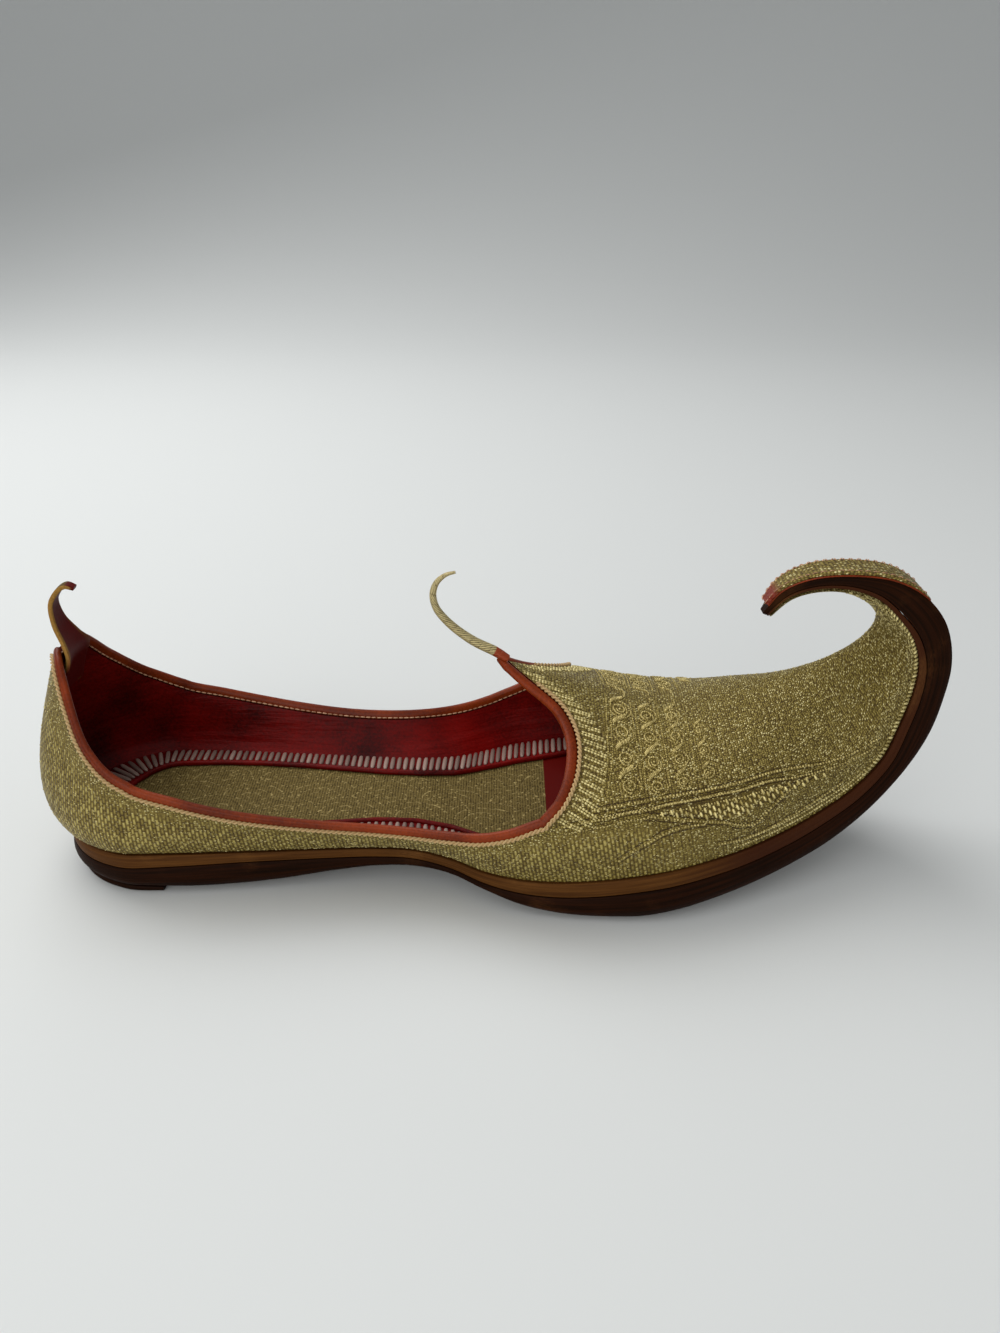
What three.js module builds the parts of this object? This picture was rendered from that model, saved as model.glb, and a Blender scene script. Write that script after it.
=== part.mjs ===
// A mojari: a straight-lasted leather shoe with a brocade upper, a curled toe and a hooked throat tail.
// Millimetres, +Z up, +X towards the toe. The shoe is its own mirror image across the XZ plane.
import * as THREE from 'three';
import { mergeVertices } from 'three/addons/utils/BufferGeometryUtils.js';

// Driving dimensions
const HEEL_WIDTH = 63; // over the sole
const BALL_WIDTH = 89; // over the sole
const WALL = 2; // brocade, interlining and lining leather together
const GAP = 0.3; // clearance between pieces that lie on each other
const SOLE_LEDGE = 1.2; // sole edge proud of the upper all round
const INSOLE_THICKNESS = 1.8;
const ROLL_WIDTH = 2.4; // room for the lining's stitched foot beside the insole
const HEEL_CENTRE = 40; // middle of the heel's round back
const HEEL_BREAST = 46; // front edge of the heel lift
const BINDING_WIDTH = 3.4; // over the edge of the wall
const BINDING_HEIGHT = 3.2;
const TAB_BEND = 24; // radius that the heel tab is bent to, round the heel
const COVER_THICKNESS = 1.1; // of the strip over the curl
const STEEPEST_FLARE = 57; // degrees, the furthest that the wall leans out beside the insole
const LEAST_HALF_WIDTH = 0.3; // of a layer where it runs out to a point

const HEEL = HEEL_WIDTH / 2;
const BALL = BALL_WIDTH / 2;

// Turns rows of plain numbers into rows with named columns.
const table = (columns, rows) => rows.map(
  (row) => Object.fromEntries(columns.map((name, i) => [name, row[i]])),
);

// One row a section, heel to tip, the first row the mirror image of the third.
// turn: degrees round the heel from straight back, 90 on a cross section.
// x, z: middle of the sole's top. bx, bz: middle of its underside. half: sole half width. mid: tan layer.
const SOLE = table(['turn', 'x', 'z', 'bx', 'bz', 'half', 'mid'], [
  [-22, HEEL_CENTRE, 15.6, HEEL_CENTRE, 3.6, HEEL - 0.2, 5],
  [0, HEEL_CENTRE, 15.6, HEEL_CENTRE, 3.6, HEEL - 0.3, 5],
  [22, HEEL_CENTRE, 15.6, HEEL_CENTRE, 3.6, HEEL - 0.2, 5],
  [45, HEEL_CENTRE, 15.6, HEEL_CENTRE, 3.3, HEEL, 5],
  [68, HEEL_CENTRE, 15.6, HEEL_CENTRE, 2.8, HEEL, 5],
  [90, HEEL_CENTRE, 15.7, HEEL_CENTRE, 2.3, HEEL, 4.8],
  [90, 55, 15.8, 55, 1.7, HEEL - 0.4, 4.2],
  [90, 70, 15.7, 70, 2.1, HEEL - 1.4, 3.6],
  [90, 85, 15.5, 85, 3.5, HEEL - 2.5, 3.2],
  [90, 100, 15.4, 100, 5.9, HEEL - 3.6, 3],
  [90, 114, 15.2, 114, 7.6, HEEL - 4.4, 2.9],
  [90, 127, 14.7, 127, 8.0, HEEL - 4.0, 2.9],
  [90, 139, 13.6, 139, 7.7, HEEL - 0.6, 3.1],
  [90, 150, 12.9, 150, 5.9, BALL - 7.6, 3.8],
  [90, 161, 13.3, 161, 3.0, BALL - 3.2, 4.6],
  [90, 173, 14.0, 173.5, 0.8, BALL - 0.9, 5.2],
  [90, 185, 15.3, 186.5, 0, BALL + 0.2, 5.4],
  [90, 197, 17.2, 199, 0, BALL + 0.6, 5.4],
  [90, 209, 18.8, 211, 1.7, BALL - 0.6, 5.4],
  [90, 221, 20.2, 222.9, 3.8, BALL - 3.9, 5.4],
  [90, 233.3, 21.4, 235.6, 6.0, BALL - 8.9, 5.2],
  [90, 246, 23.7, 249.4, 9.7, BALL - 14.7, 4.8],
  [90, 258.2, 27.1, 263.2, 15.0, BALL - 20.8, 4.3],
  [90, 269.8, 32.5, 276.0, 23.9, BALL - 26.2, 3.7],
  [90, 278.9, 41.1, 286.4, 35.4, BALL - 30.4, 3.2],
  [90, 283.4, 51.8, 293.2, 47.8, BALL - 33.0, 2.9],
  [90, 286.4, 62.2, 296.4, 60.1, BALL - 34.8, 2.6],
  [90, 287.0, 72.0, 297.3, 73.0, BALL - 36.0, 2.2],
  [90, 284.2, 80.7, 293.8, 85.5, BALL - 36.9, 1.8],
  [90, 278.4, 88.1, 286.0, 94.8, BALL - 37.6, 1.4],
  [90, 271.2, 94.2, 275.6, 100.1, BALL - 38.0, 1.2],
  [90, 262, 97.2, 263.2, 101.6, BALL - 38.4, 1],
  [90, 252.6, 97.0, 251.2, 100.4, BALL - 39.2, 0.9],
  [90, 244.6, 93.6, 242.4, 95.8, BALL - 40.6, 0.7],
  [90, 239.2, 86.6, 237.4, 87.4, BALL - 42.6, 0.5],
]);

// The upper's sections, row for row with SOLE. rx, rz: ridge over the foot, where the upper closes.
// out, high: collar edge, and past the throat the shoulder of the vamp, sideways and up from the sole.
// lean: how far the wall leans in there. flare: how far it leans out where it leaves the sole.
// belly: how far the wall keeps to its flare. crown: how far the vamp stays level from its ridge.
const UPPER = table(['rx', 'rz', 'out', 'high', 'lean', 'flare', 'belly', 'crown'], [
  [HEEL_CENTRE, 90, 26.6, 56.9, 19, 62, 0.3, 0.2],
  [HEEL_CENTRE, 90, 27.4, 58, 18, 62, 0.3, 0.2],
  [HEEL_CENTRE, 90, 26.6, 56.9, 19, 62, 0.3, 0.2],
  [HEEL_CENTRE, 90, 27.8, 46.0, 13, 60, 0.3, 0.2],
  [HEEL_CENTRE, 90, 31.6, 34.4, 4, 58, 0.33, 0.2],
  [HEEL_CENTRE, 90, 34.5, 26.3, -6, 54, 0.36, 0.2],
  [55, 90, 36.1, 21.3, -14, 51, 0.38, 0.2],
  [70, 90, 36.5, 17.6, -20, 50, 0.38, 0.2],
  [85, 90, 36.0, 15.0, -24, 54, 0.38, 0.2],
  [100, 90, 35.5, 13.2, -26, 57, 0.38, 0.2],
  [114, 90, 35.8, 12.5, -26, 57, 0.38, 0.2],
  [127, 90, 37.4, 12.7, -22, 54, 0.38, 0.2],
  [139, 84, 40.5, 14.2, -14, 48, 0.38, 0.2],
  [147.5, 76, 44.0, 16.5, -6, 40, 0.38, 0.2],
  [154, 72, 46.2, 19.4, 2, 32, 0.38, 0.2],
  [164, 66.8, 46.6, 23.4, 12, 26, 0.38, 0.22],
  [176.5, 63.2, 46.0, 23.9, 19, 22, 0.38, 0.26],
  [189.5, 59.2, 44.4, 22.6, 22, 20, 0.38, 0.32],
  [201.5, 56.8, 41.8, 20.8, 23, 18, 0.38, 0.38],
  [213, 56.9, 38.6, 19.6, 24, 16, 0.38, 0.42],
  [223.5, 58.6, 34.3, 19.0, 24, 14, 0.38, 0.46],
  [233.5, 61.1, 29.0, 18.6, 25, 13, 0.38, 0.5],
  [243, 63.4, 23.4, 17.5, 26, 12, 0.38, 0.5],
  [251.5, 66.4, 18.2, 15.4, 27, 11, 0.38, 0.5],
  [258.8, 69.8, 14.0, 12.8, 28, 10, 0.38, 0.5],
  [265, 73.5, 11.1, 10.6, 29, 9, 0.38, 0.5],
  [270, 77.6, 9.3, 8.4, 30, 8, 0.38, 0.5],
  [273.2, 82.0, 8.2, 6.2, 32, 7, 0.38, 0.5],
  [273.9, 85.8, 7.3, 3.8, 36, 6, 0.38, 0.5],
  [272.6, 88.2, 6.7, 2.4, 40, 4, 0.38, 0.5],
  [269.4, 91.2, 6.3, 1.5, 45, 2, 0.38, 0.5],
  [261.8, 94.7, 5.9, 1.1, 50, 0, 0.38, 0.5],
  [253.4, 94.7, 5.1, 1, 50, 0, 0.38, 0.5],
  [246.2, 91.9, 3.8, 0.9, 50, 0, 0.38, 0.5],
  [240.8, 86.1, 1.8, 0.7, 50, 0, 0.38, 0.5],
]);

const FIRST = 1; // the row straight back from the heel
const LAST = SOLE.length - 1;
const CORNER = 15; // section where the collar turns up into the throat
const HEEL_SIDE = 5; // the section beside HEEL_CENTRE
const INSOLE_END = 23;
const COVER_START = 28.9;
const COVER_END = 33.6;

// Throat edge: from the corner up over the vamp to its peak. rise: 0 on the shoulder, 1 on the ridge.
const THROAT = table(['rise', 'at'], [
  [0, CORNER],
  [0.06, 15.26],
  [0.12, 15.51],
  [0.2, 15.72],
  [0.28, 15.88],
  [0.37, 16.0],
  [0.46, 16.07],
  [0.55, 16.06],
  [0.64, 15.95],
  [0.72, 15.75],
  [0.8, 15.4],
  [0.87, 15.03],
  [0.93, 14.72],
  [1, 14.4],
]);

// Steps of the surfaces
const COLLAR_STEPS = 32;
const FRONT_STEPS = 38;
const HOLLOW_STEPS = 26; // of FRONT_STEPS, the toe ahead of them is one thickness of leather
const LOWER_STEPS = 5;
const RISE_STEPS = 12;
const SOLE_STEPS = 68;
const LIFT_STEPS = 20;
const INSOLE_STEPS = 48;
const COVER_STEPS = 20;
const TAIL_STEPS = 20;
const TAB_STEPS = 16;
const BAR_SIDES = 8;
const TAB_SIDES = 12;
const RISE_CROWDING = 1.35; // the throat's steps lie closer together near its corner

// How far the wall keeps its lean below and above the collar or shoulder, shares of its height.
const EDGE_REACH = 0.36;
const VAMP_REACH = 0.5;
const SLOPE_STEP = 0.02; // of a section or of the wall's height, where slopes are measured

// Cubic through the rows of a table, the place given in rows.
function smooth(rows, column, at) {
  const i = Math.min(Math.max(Math.floor(at), 0), rows.length - 2);
  const f = at - i;
  const pick = (k) => rows[Math.min(Math.max(k, 0), rows.length - 1)][column];
  const [a, b, c, d] = [pick(i - 1), pick(i), pick(i + 1), pick(i + 2)];
  return b + 0.5 * f * (c - a + f * (2 * a - 5 * b + 4 * c - d + f * (3 * (b - c) + d - a)));
}

// Row place in THROAT's rise, turned into a section.
function throatAt(rise) {
  let i = 0;
  while (i < THROAT.length - 2 && THROAT[i + 1].rise < rise) i += 1;
  const f = (rise - THROAT[i].rise) / (THROAT[i + 1].rise - THROAT[i].rise);
  return smooth(THROAT, 'at', i + f);
}

const lerp = (a, b, f) => a + (b - a) * f;
const mirrored = (point) => new THREE.Vector3(point.x, -point.y, point.z);

// The plane of a section: its foot on the sole's top, the way out of the near side and the way up.
function section(at) {
  const turn = THREE.MathUtils.degToRad(smooth(SOLE, 'turn', at));
  const foot = new THREE.Vector3(smooth(SOLE, 'x', at), 0, smooth(SOLE, 'z', at));
  const under = new THREE.Vector3(smooth(SOLE, 'bx', at), 0, smooth(SOLE, 'bz', at));
  under.z = Math.max(under.z, 0);
  const ridge = new THREE.Vector3(smooth(UPPER, 'rx', at), 0, smooth(UPPER, 'rz', at));
  const out = new THREE.Vector3(-Math.cos(turn), -Math.sin(turn), 0);
  if (out.x > -1e-9) out.set(0, -1, 0);
  const up = ridge.clone().sub(foot);
  return { foot, under, out, height: up.length(), up: up.normalize(), half: smooth(SOLE, 'half', at) };
}

const inPlane = (plane, sideways, high) => plane.foot.clone()
  .addScaledVector(plane.out, sideways).addScaledVector(plane.up, high);

// A cubic Bezier between two points of a section, each given with its direction and handle.
function bezier(start, startWay, startReach, end, endWay, endReach, f) {
  const g = 1 - f;
  const mix = (a, b, c, d) => g * g * g * a + 3 * g * g * f * b + 3 * g * f * f * c + f * f * f * d;
  return [0, 1].map((k) => mix(
    start[k],
    start[k] + startWay[k] * startReach,
    end[k] - endWay[k] * endReach,
    end[k],
  ));
}

// The wall's outer face between the sole and the collar edge or shoulder.
function lowerWall(at, f) {
  const plane = section(at);
  const lean = THREE.MathUtils.degToRad(smooth(UPPER, 'lean', at));
  const flare = THREE.MathUtils.degToRad(smooth(UPPER, 'flare', at));
  const start = [plane.half - SOLE_LEDGE, GAP];
  const end = [smooth(UPPER, 'out', at), smooth(UPPER, 'high', at)];
  const span = Math.hypot(end[0] - start[0], end[1] - start[1]);
  const [sideways, high] = bezier(
    start, [Math.sin(flare), Math.cos(flare)], smooth(UPPER, 'belly', at) * span,
    end, [-Math.sin(lean), Math.cos(lean)], EDGE_REACH * span, f,
  );
  return inPlane(plane, sideways, high);
}

// The vamp's outer face between its shoulder and the ridge.
function upperWall(at, f) {
  const plane = section(at);
  const lean = THREE.MathUtils.degToRad(smooth(UPPER, 'lean', at));
  const start = [smooth(UPPER, 'out', at), smooth(UPPER, 'high', at)];
  const end = [0, plane.height];
  const [sideways, high] = bezier(
    start, [-Math.sin(lean), Math.cos(lean)], VAMP_REACH * (end[1] - start[1]),
    end, [-1, 0], smooth(UPPER, 'crown', at) * start[0], f,
  );
  return inPlane(plane, Math.max(sideways, 0), high);
}

// Outward normal of a face function by small differences.
function normalAt(face, at, f) {
  const step = SLOPE_STEP;
  const along = face(Math.min(at + step, LAST), f).sub(face(Math.max(at - step, FIRST), f));
  const rise = face(at, Math.min(f + step, 1)).sub(face(at, Math.max(f - step, 0)));
  return along.cross(rise).normalize();
}

// On the shoulder both faces share one normal.
function sharedNormal(face, at, f) {
  const onShoulder = at >= CORNER && ((face === lowerWall && f === 1) || (face === upperWall && f === 0));
  if (!onShoulder) return normalAt(face, at, f);
  return normalAt(lowerWall, at, 1).add(normalAt(upperWall, at, 0)).normalize();
}

// A point of the wall's inner face. The foot of the wall stays flat on the sole.
function innerPoint(face, at, f) {
  if (face === lowerWall && f === 0) {
    const plane = section(at);
    const flare = THREE.MathUtils.degToRad(smooth(UPPER, 'flare', at));
    return inPlane(plane, plane.half - SOLE_LEDGE - WALL / Math.cos(flare), GAP);
  }
  const point = face(at, f).addScaledVector(sharedNormal(face, at, f), -WALL);
  if (at === FIRST || (face === upperWall && f === 1)) point.y = 0;
  return point;
}

// Sections along the collar, then along the vamp.
const collarPlaces = Array.from(
  { length: COLLAR_STEPS + 1 },
  (_, i) => lerp(FIRST, CORNER, i / COLLAR_STEPS),
);
const frontPlace = (rise, i) => lerp(throatAt(rise), LAST, i / FRONT_STEPS);

// Grids of points for one side of the wall's outer or inner face.
function wallGrids(point, frontSteps) {
  const fronts = Array.from({ length: frontSteps + 1 }, (_, i) => i);
  const rises = Array.from({ length: RISE_STEPS + 1 }, (_, j) => (j / RISE_STEPS) ** RISE_CROWDING);
  const lows = Array.from({ length: LOWER_STEPS + 1 }, (_, j) => j / LOWER_STEPS);
  return {
    quarter: collarPlaces.map((at) => lows.map((f) => point(lowerWall, at, f))),
    side: fronts.map((i) => lows.map((f) => point(lowerWall, frontPlace(0, i), f))),
    vamp: fronts.map((i) => rises.map((f) => point(upperWall, frontPlace(f, i), f))),
  };
}

// Adds the triangles of a grid of points, and skips those with no area.
function addGrid(triangles, grid, flip = false) {
  const add = (a, b, c) => {
    if (a.distanceTo(b) < 1e-4 || b.distanceTo(c) < 1e-4 || a.distanceTo(c) < 1e-4) return;
    triangles.push(flip ? [a, c, b] : [a, b, c]);
  };
  for (let i = 0; i < grid.length - 1; i += 1) {
    for (let j = 0; j < grid[i].length - 1; j += 1) {
      add(grid[i][j], grid[i + 1][j], grid[i + 1][j + 1]);
      add(grid[i][j], grid[i + 1][j + 1], grid[i][j + 1]);
    }
  }
}

// Adds a grid and its mirror image.
function addBothSides(triangles, grid, flip = false) {
  addGrid(triangles, grid, flip);
  addGrid(triangles, grid.map((row) => row.map(mirrored)), !flip);
}

// Adds a fan over a ring of points.
function addFan(triangles, ring, flip = false) {
  for (let k = 1; k < ring.length - 1; k += 1) {
    triangles.push(flip ? [ring[0], ring[k + 1], ring[k]] : [ring[0], ring[k], ring[k + 1]]);
  }
}

// Closed geometry with shared vertices.
function closed(triangles) {
  const geometry = new THREE.BufferGeometry();
  const positions = triangles.flat().flatMap((point) => [point.x, point.y, point.z]);
  geometry.setAttribute('position', new THREE.Float32BufferAttribute(positions, 3));
  const merged = mergeVertices(geometry, 1e-3);
  merged.computeVertexNormals();
  return merged;
}

// The edge of the collar and throat on one side, heel to peak, on the outer and inner face.
function collarEdge(outer, inner) {
  const points = outer.quarter.map((column, i) => ({
    outer: column[LOWER_STEPS],
    inner: inner.quarter[i][LOWER_STEPS],
  }));
  for (let j = 1; j <= RISE_STEPS; j += 1) {
    points.push({ outer: outer.vamp[0][j], inner: inner.vamp[0][j] });
  }
  return points;
}

// Upper: one shell, open along the collar and throat and underneath, solid along the inside of the curl.
const outerWall = wallGrids((face, at, f) => face(at, f), FRONT_STEPS);
const innerWall = wallGrids(innerPoint, HOLLOW_STEPS);

function upperGeometry() {
  const triangles = [];
  Object.values(outerWall).forEach((grid) => addBothSides(triangles, grid));
  Object.values(innerWall).forEach((grid) => addBothSides(triangles, grid, true));
  const edge = collarEdge(outerWall, innerWall).map((point) => [point.outer, point.inner]);
  addBothSides(triangles, edge);
  const footOuter = [...outerWall.quarter, ...outerWall.side].map((column) => column[0]);
  const footInner = [...innerWall.quarter, ...innerWall.side].map((column) => column[0]);
  addBothSides(triangles, footInner.map((point, i) => [point, footOuter[i]]));
  const arch = [...innerWall.side[HOLLOW_STEPS], ...innerWall.vamp[HOLLOW_STEPS].slice(1)];
  const ring = [...arch, ...arch.slice(0, -1).reverse().map(mirrored)];
  addFan(triangles, ring);
  const strapFoot = outerWall.side.slice(HOLLOW_STEPS).map((column) => column[0]);
  const strip = strapFoot.map((point) => [point, mirrored(point)]);
  addGrid(triangles, strip.slice(1), true);
  const [outerFoot, innerFoot, nextFoot] = [strapFoot[0], arch[0], strapFoot[1]];
  const joint = [innerFoot, mirrored(innerFoot), mirrored(outerFoot), mirrored(nextFoot)];
  [outerFoot, ...joint].slice(0, -1).forEach((point, k) => triangles.push([point, joint[k], nextFoot]));
  const tip = [...outerWall.side[FRONT_STEPS], ...outerWall.vamp[FRONT_STEPS].slice(1)];
  addFan(triangles, [...tip, ...tip.slice(0, -1).reverse().map(mirrored)], true);
  return closed(triangles);
}

// A layer of the sole between two depths, from section to section. Each edge row gives how far the
// side stands out, a share of the sole's half width, and how deep it lies between the layer's top (0)
// and underside (1).
function soleLayer(from, to, steps, top, bottom, edge, inset = 0) {
  const columns = Array.from({ length: steps + 1 }, (_, i) => {
    const at = lerp(from, to, i / steps);
    const plane = section(at);
    const high = top(plane, at);
    const low = bottom(plane, at);
    return edge.map(({ out, deep }) => high.clone().lerp(low, deep)
      .addScaledVector(plane.out, Math.max(plane.half * (1 + out) - inset, LEAST_HALF_WIDTH)));
  });
  const triangles = [];
  addBothSides(triangles, columns, true);
  const last = edge.length - 1;
  addGrid(triangles, columns.map((column) => [column[0], mirrored(column[0])]));
  addGrid(triangles, columns.map((column) => [column[last], mirrored(column[last])]), true);
  const end = columns[steps];
  addFan(triangles, [...end, ...end.slice().reverse().map(mirrored)]);
  if (from > FIRST) {
    const start = columns[0];
    addFan(triangles, [...start, ...start.slice().reverse().map(mirrored)], true);
  }
  return closed(triangles);
}

// Depths in the sole, from its top to its underside.
const soleTop = (plane) => plane.foot.clone();
const towardsUnder = (plane, depth) => plane.foot.clone()
  .addScaledVector(plane.under.clone().sub(plane.foot).normalize(), depth);
const seamTop = (plane, at) => towardsUnder(plane, smooth(SOLE, 'mid', at));
const seamBottom = (plane, at) => towardsUnder(plane, smooth(SOLE, 'mid', at) + GAP);
const underside = (plane) => plane.under.clone();

function outsoleGeometry() {
  const edge = table(['out', 'deep'], [[-0.008, 0], [0.004, 0.2], [0.006, 0.55], [-0.03, 0.84], [-0.1, 1]]);
  return soleLayer(FIRST, LAST, SOLE_STEPS, seamBottom, underside, edge);
}

function midsoleGeometry() {
  const edge = table(['out', 'deep'], [[-0.012, 0], [0, 0.3], [-0.003, 0.75], [-0.012, 1]]);
  return soleLayer(FIRST, LAST, SOLE_STEPS, soleTop, seamTop, edge);
}

// The lift under the heel, cut square at its breast, flat on the floor.
function heelLiftGeometry() {
  const breast = HEEL_SIDE + (HEEL_BREAST - HEEL_CENTRE) / (SOLE[HEEL_SIDE + 1].x - HEEL_CENTRE);
  const edge = table(['out', 'deep'], [[-0.075, 0], [-0.06, 0.45], [-0.075, 0.8], [-0.11, 1]]);
  const top = (plane) => plane.under.clone().add(new THREE.Vector3(0, 0, -GAP));
  const floor = (plane) => new THREE.Vector3(plane.under.x, 0, 0);
  return soleLayer(FIRST, breast, LIFT_STEPS, top, floor, edge);
}

// The footbed, inside the wall and on the sole, heel to the narrow of the toe.
function insoleGeometry() {
  const inset = SOLE_LEDGE + WALL / Math.cos(THREE.MathUtils.degToRad(STEEPEST_FLARE)) + ROLL_WIDTH;
  const edge = table(['out', 'deep'], [[-0.012, 0], [0, 0.4], [0, 1]]);
  const top = (plane) => inPlane(plane, 0, GAP + INSOLE_THICKNESS);
  const bottom = (plane) => inPlane(plane, 0, GAP);
  return soleLayer(FIRST, INSOLE_END, INSOLE_STEPS, top, bottom, edge, inset);
}

// Volume inside a closed geometry, negative where its faces look inwards.
function signedVolume(geometry) {
  const position = geometry.getAttribute('position');
  const index = geometry.getIndex();
  const corner = (k) => new THREE.Vector3().fromBufferAttribute(position, index.getX(k));
  let volume = 0;
  for (let k = 0; k < index.count; k += 3) {
    volume += corner(k).dot(corner(k + 1).cross(corner(k + 2))) / 6;
  }
  return volume;
}

// A bar of round or flattened section. Each station: centre, the two half axes across the bar.
// bend: radius that its flanks are bent forward to, none for a straight section.
function barGeometry(stations, sides, bend = Infinity) {
  const rings = stations.map(({ centre, across, over }) => Array.from({ length: sides }, (_, k) => {
    const angle = (2 * Math.PI * k) / sides;
    const point = centre.clone().addScaledVector(across, Math.cos(angle));
    point.addScaledVector(over, Math.sin(angle));
    point.x += point.y ** 2 / (2 * bend);
    return point;
  }));
  const triangles = [];
  addGrid(triangles, rings.map((ring) => [...ring, ring[0]]));
  addFan(triangles, rings[0]);
  addFan(triangles, rings[rings.length - 1], true);
  const geometry = closed(triangles);
  if (signedVolume(geometry) < 0) geometry.setIndex(Array.from(geometry.getIndex().array).reverse());
  return geometry;
}

// Collar binding: folded leather on the edge of the wall, round the throat from one side of the heel
// tab to the other. Counted in steps of the collar from straight back.
const BINDING_START = 1;

function bindingGeometry() {
  const near = collarEdge(outerWall, innerWall).slice(BINDING_START);
  const far = near.slice(0, -1).reverse()
    .map((point) => ({ outer: mirrored(point.outer), inner: mirrored(point.inner) }));
  const edge = [...near, ...far];
  const middles = edge.map((point) => point.outer.clone().lerp(point.inner, 0.5));
  return barGeometry(edge.map((point, i) => {
    const before = middles[Math.max(i - 1, 0)];
    const after = middles[Math.min(i + 1, middles.length - 1)];
    const along = after.clone().sub(before).normalize();
    const across = point.outer.clone().sub(point.inner);
    across.addScaledVector(along, -across.dot(along)).normalize();
    const over = across.clone().cross(along).normalize();
    return {
      centre: middles[i].clone().addScaledVector(over, BINDING_HEIGHT / 2 + GAP),
      across: across.multiplyScalar(BINDING_WIDTH / 2),
      over: over.multiplyScalar(BINDING_HEIGHT / 2),
    };
  }), BAR_SIDES);
}

// A bar along a curve in the XZ plane, with its half sizes across (y) and through.
function archedBar(rows, steps, sides, bend) {
  const stations = Array.from({ length: steps + 1 }, (_, i) => {
    const at = (i / steps) * (rows.length - 1);
    const point = (place) => new THREE.Vector3(smooth(rows, 'x', place), 0, smooth(rows, 'z', place));
    const ahead = point(Math.min(at + SLOPE_STEP, rows.length - 1));
    const along = ahead.sub(point(Math.max(at - SLOPE_STEP, 0))).normalize();
    const through = new THREE.Vector3(-along.z, 0, along.x);
    return {
      centre: point(at),
      across: new THREE.Vector3(0, smooth(rows, 'wide', at), 0),
      over: through.multiplyScalar(smooth(rows, 'thick', at)),
    };
  });
  return barGeometry(stations, sides, bend);
}

// Throat tail: the rolled end of the vamp, back and up from the peak and hooked forward at its tip.
const TAIL = table(['x', 'z', 'wide', 'thick'], [
  [153.3, 73.4, 1.8, 1.5],
  [147.2, 76.6, 1.7, 1.5],
  [142.2, 80.2, 1.5, 1.4],
  [138.0, 84.2, 1.4, 1.3],
  [135.0, 88.4, 1.3, 1.2],
  [134.0, 93.0, 1.1, 1.1],
  [135.2, 97.0, 0.95, 0.95],
  [138.0, 99.6, 0.7, 0.7],
  [141.2, 100.6, 0.45, 0.45],
]);

// Heel tab: the leather inside the back of the heel, broad up to the collar, then drawn in to a strap
// that stands up and hooks forward.
const TAB = table(['x', 'z', 'wide', 'thick'], [
  [13.4, 60, 9.5, 0.9],
  [15.2, 67, 10, 0.9],
  [18.0, 73.5, 9.4, 0.9],
  [17.2, 78, 6.8, 0.9],
  [15.0, 84, 4.6, 0.9],
  [14.6, 90.2, 3.2, 0.85],
  [16.8, 94.2, 2.6, 0.8],
  [19.6, 96.2, 2.2, 0.7],
  [22.4, 95.4, 1.6, 0.6],
]);

// Toe cover: the brocade strip over the outer face of the curl.
function toeCoverGeometry() {
  const edge = table(['out', 'deep'], [[-0.1, 0], [-0.07, 0.4], [-0.16, 1]]);
  const lift = (plane, depth) => plane.under.clone()
    .addScaledVector(plane.under.clone().sub(plane.foot).normalize(), depth);
  const under = (plane) => lift(plane, GAP);
  const over = (plane) => lift(plane, GAP + COVER_THICKNESS);
  return soleLayer(COVER_START, COVER_END, COVER_STEPS, under, over, edge);
}

const LEATHER_DARK = new THREE.MeshStandardMaterial({ color: 0x3a2114, roughness: 0.55, metalness: 0 });
const LEATHER_TAN = new THREE.MeshStandardMaterial({ color: 0x7a5226, roughness: 0.6, metalness: 0 });
const LEATHER_RED = new THREE.MeshStandardMaterial({ color: 0xa83c1c, roughness: 0.45, metalness: 0 });
const BROCADE = new THREE.MeshStandardMaterial({ color: 0x8f8146, roughness: 0.5, metalness: 0.4 });

const shoe = new THREE.Group();

function addPiece(name, geometry, material) {
  const mesh = new THREE.Mesh(geometry, material.clone());
  mesh.name = name;
  shoe.add(mesh);
}

addPiece('heel_lift', heelLiftGeometry(), LEATHER_DARK);
addPiece('outsole', outsoleGeometry(), LEATHER_DARK);
addPiece('midsole', midsoleGeometry(), LEATHER_TAN);
addPiece('insole', insoleGeometry(), BROCADE);
addPiece('upper', upperGeometry(), BROCADE);
addPiece('collar_binding', bindingGeometry(), LEATHER_RED);
addPiece('throat_tail', archedBar(TAIL, TAIL_STEPS, BAR_SIDES), BROCADE);
addPiece('heel_tab', archedBar(TAB, TAB_STEPS, TAB_SIDES, TAB_BEND), LEATHER_RED);
addPiece('toe_cover', toeCoverGeometry(), BROCADE);

// The origin lies under the middle of the shoe's length.
const middle = new THREE.Box3().setFromObject(shoe).getCenter(new THREE.Vector3());
shoe.children.forEach((piece) => piece.position.setX(-middle.x));

export default shoe;
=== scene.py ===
"""A mojari shoe in gold brocade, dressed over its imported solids.

The tables of the last are in millimetres, row for row from the back of the heel to the tip of the curl.
Everything that is built from them is in metres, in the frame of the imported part.
"""

import logging
import math
from dataclasses import dataclass, fields, replace
from enum import Enum
from typing import Callable, Optional, Sequence, Union

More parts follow.
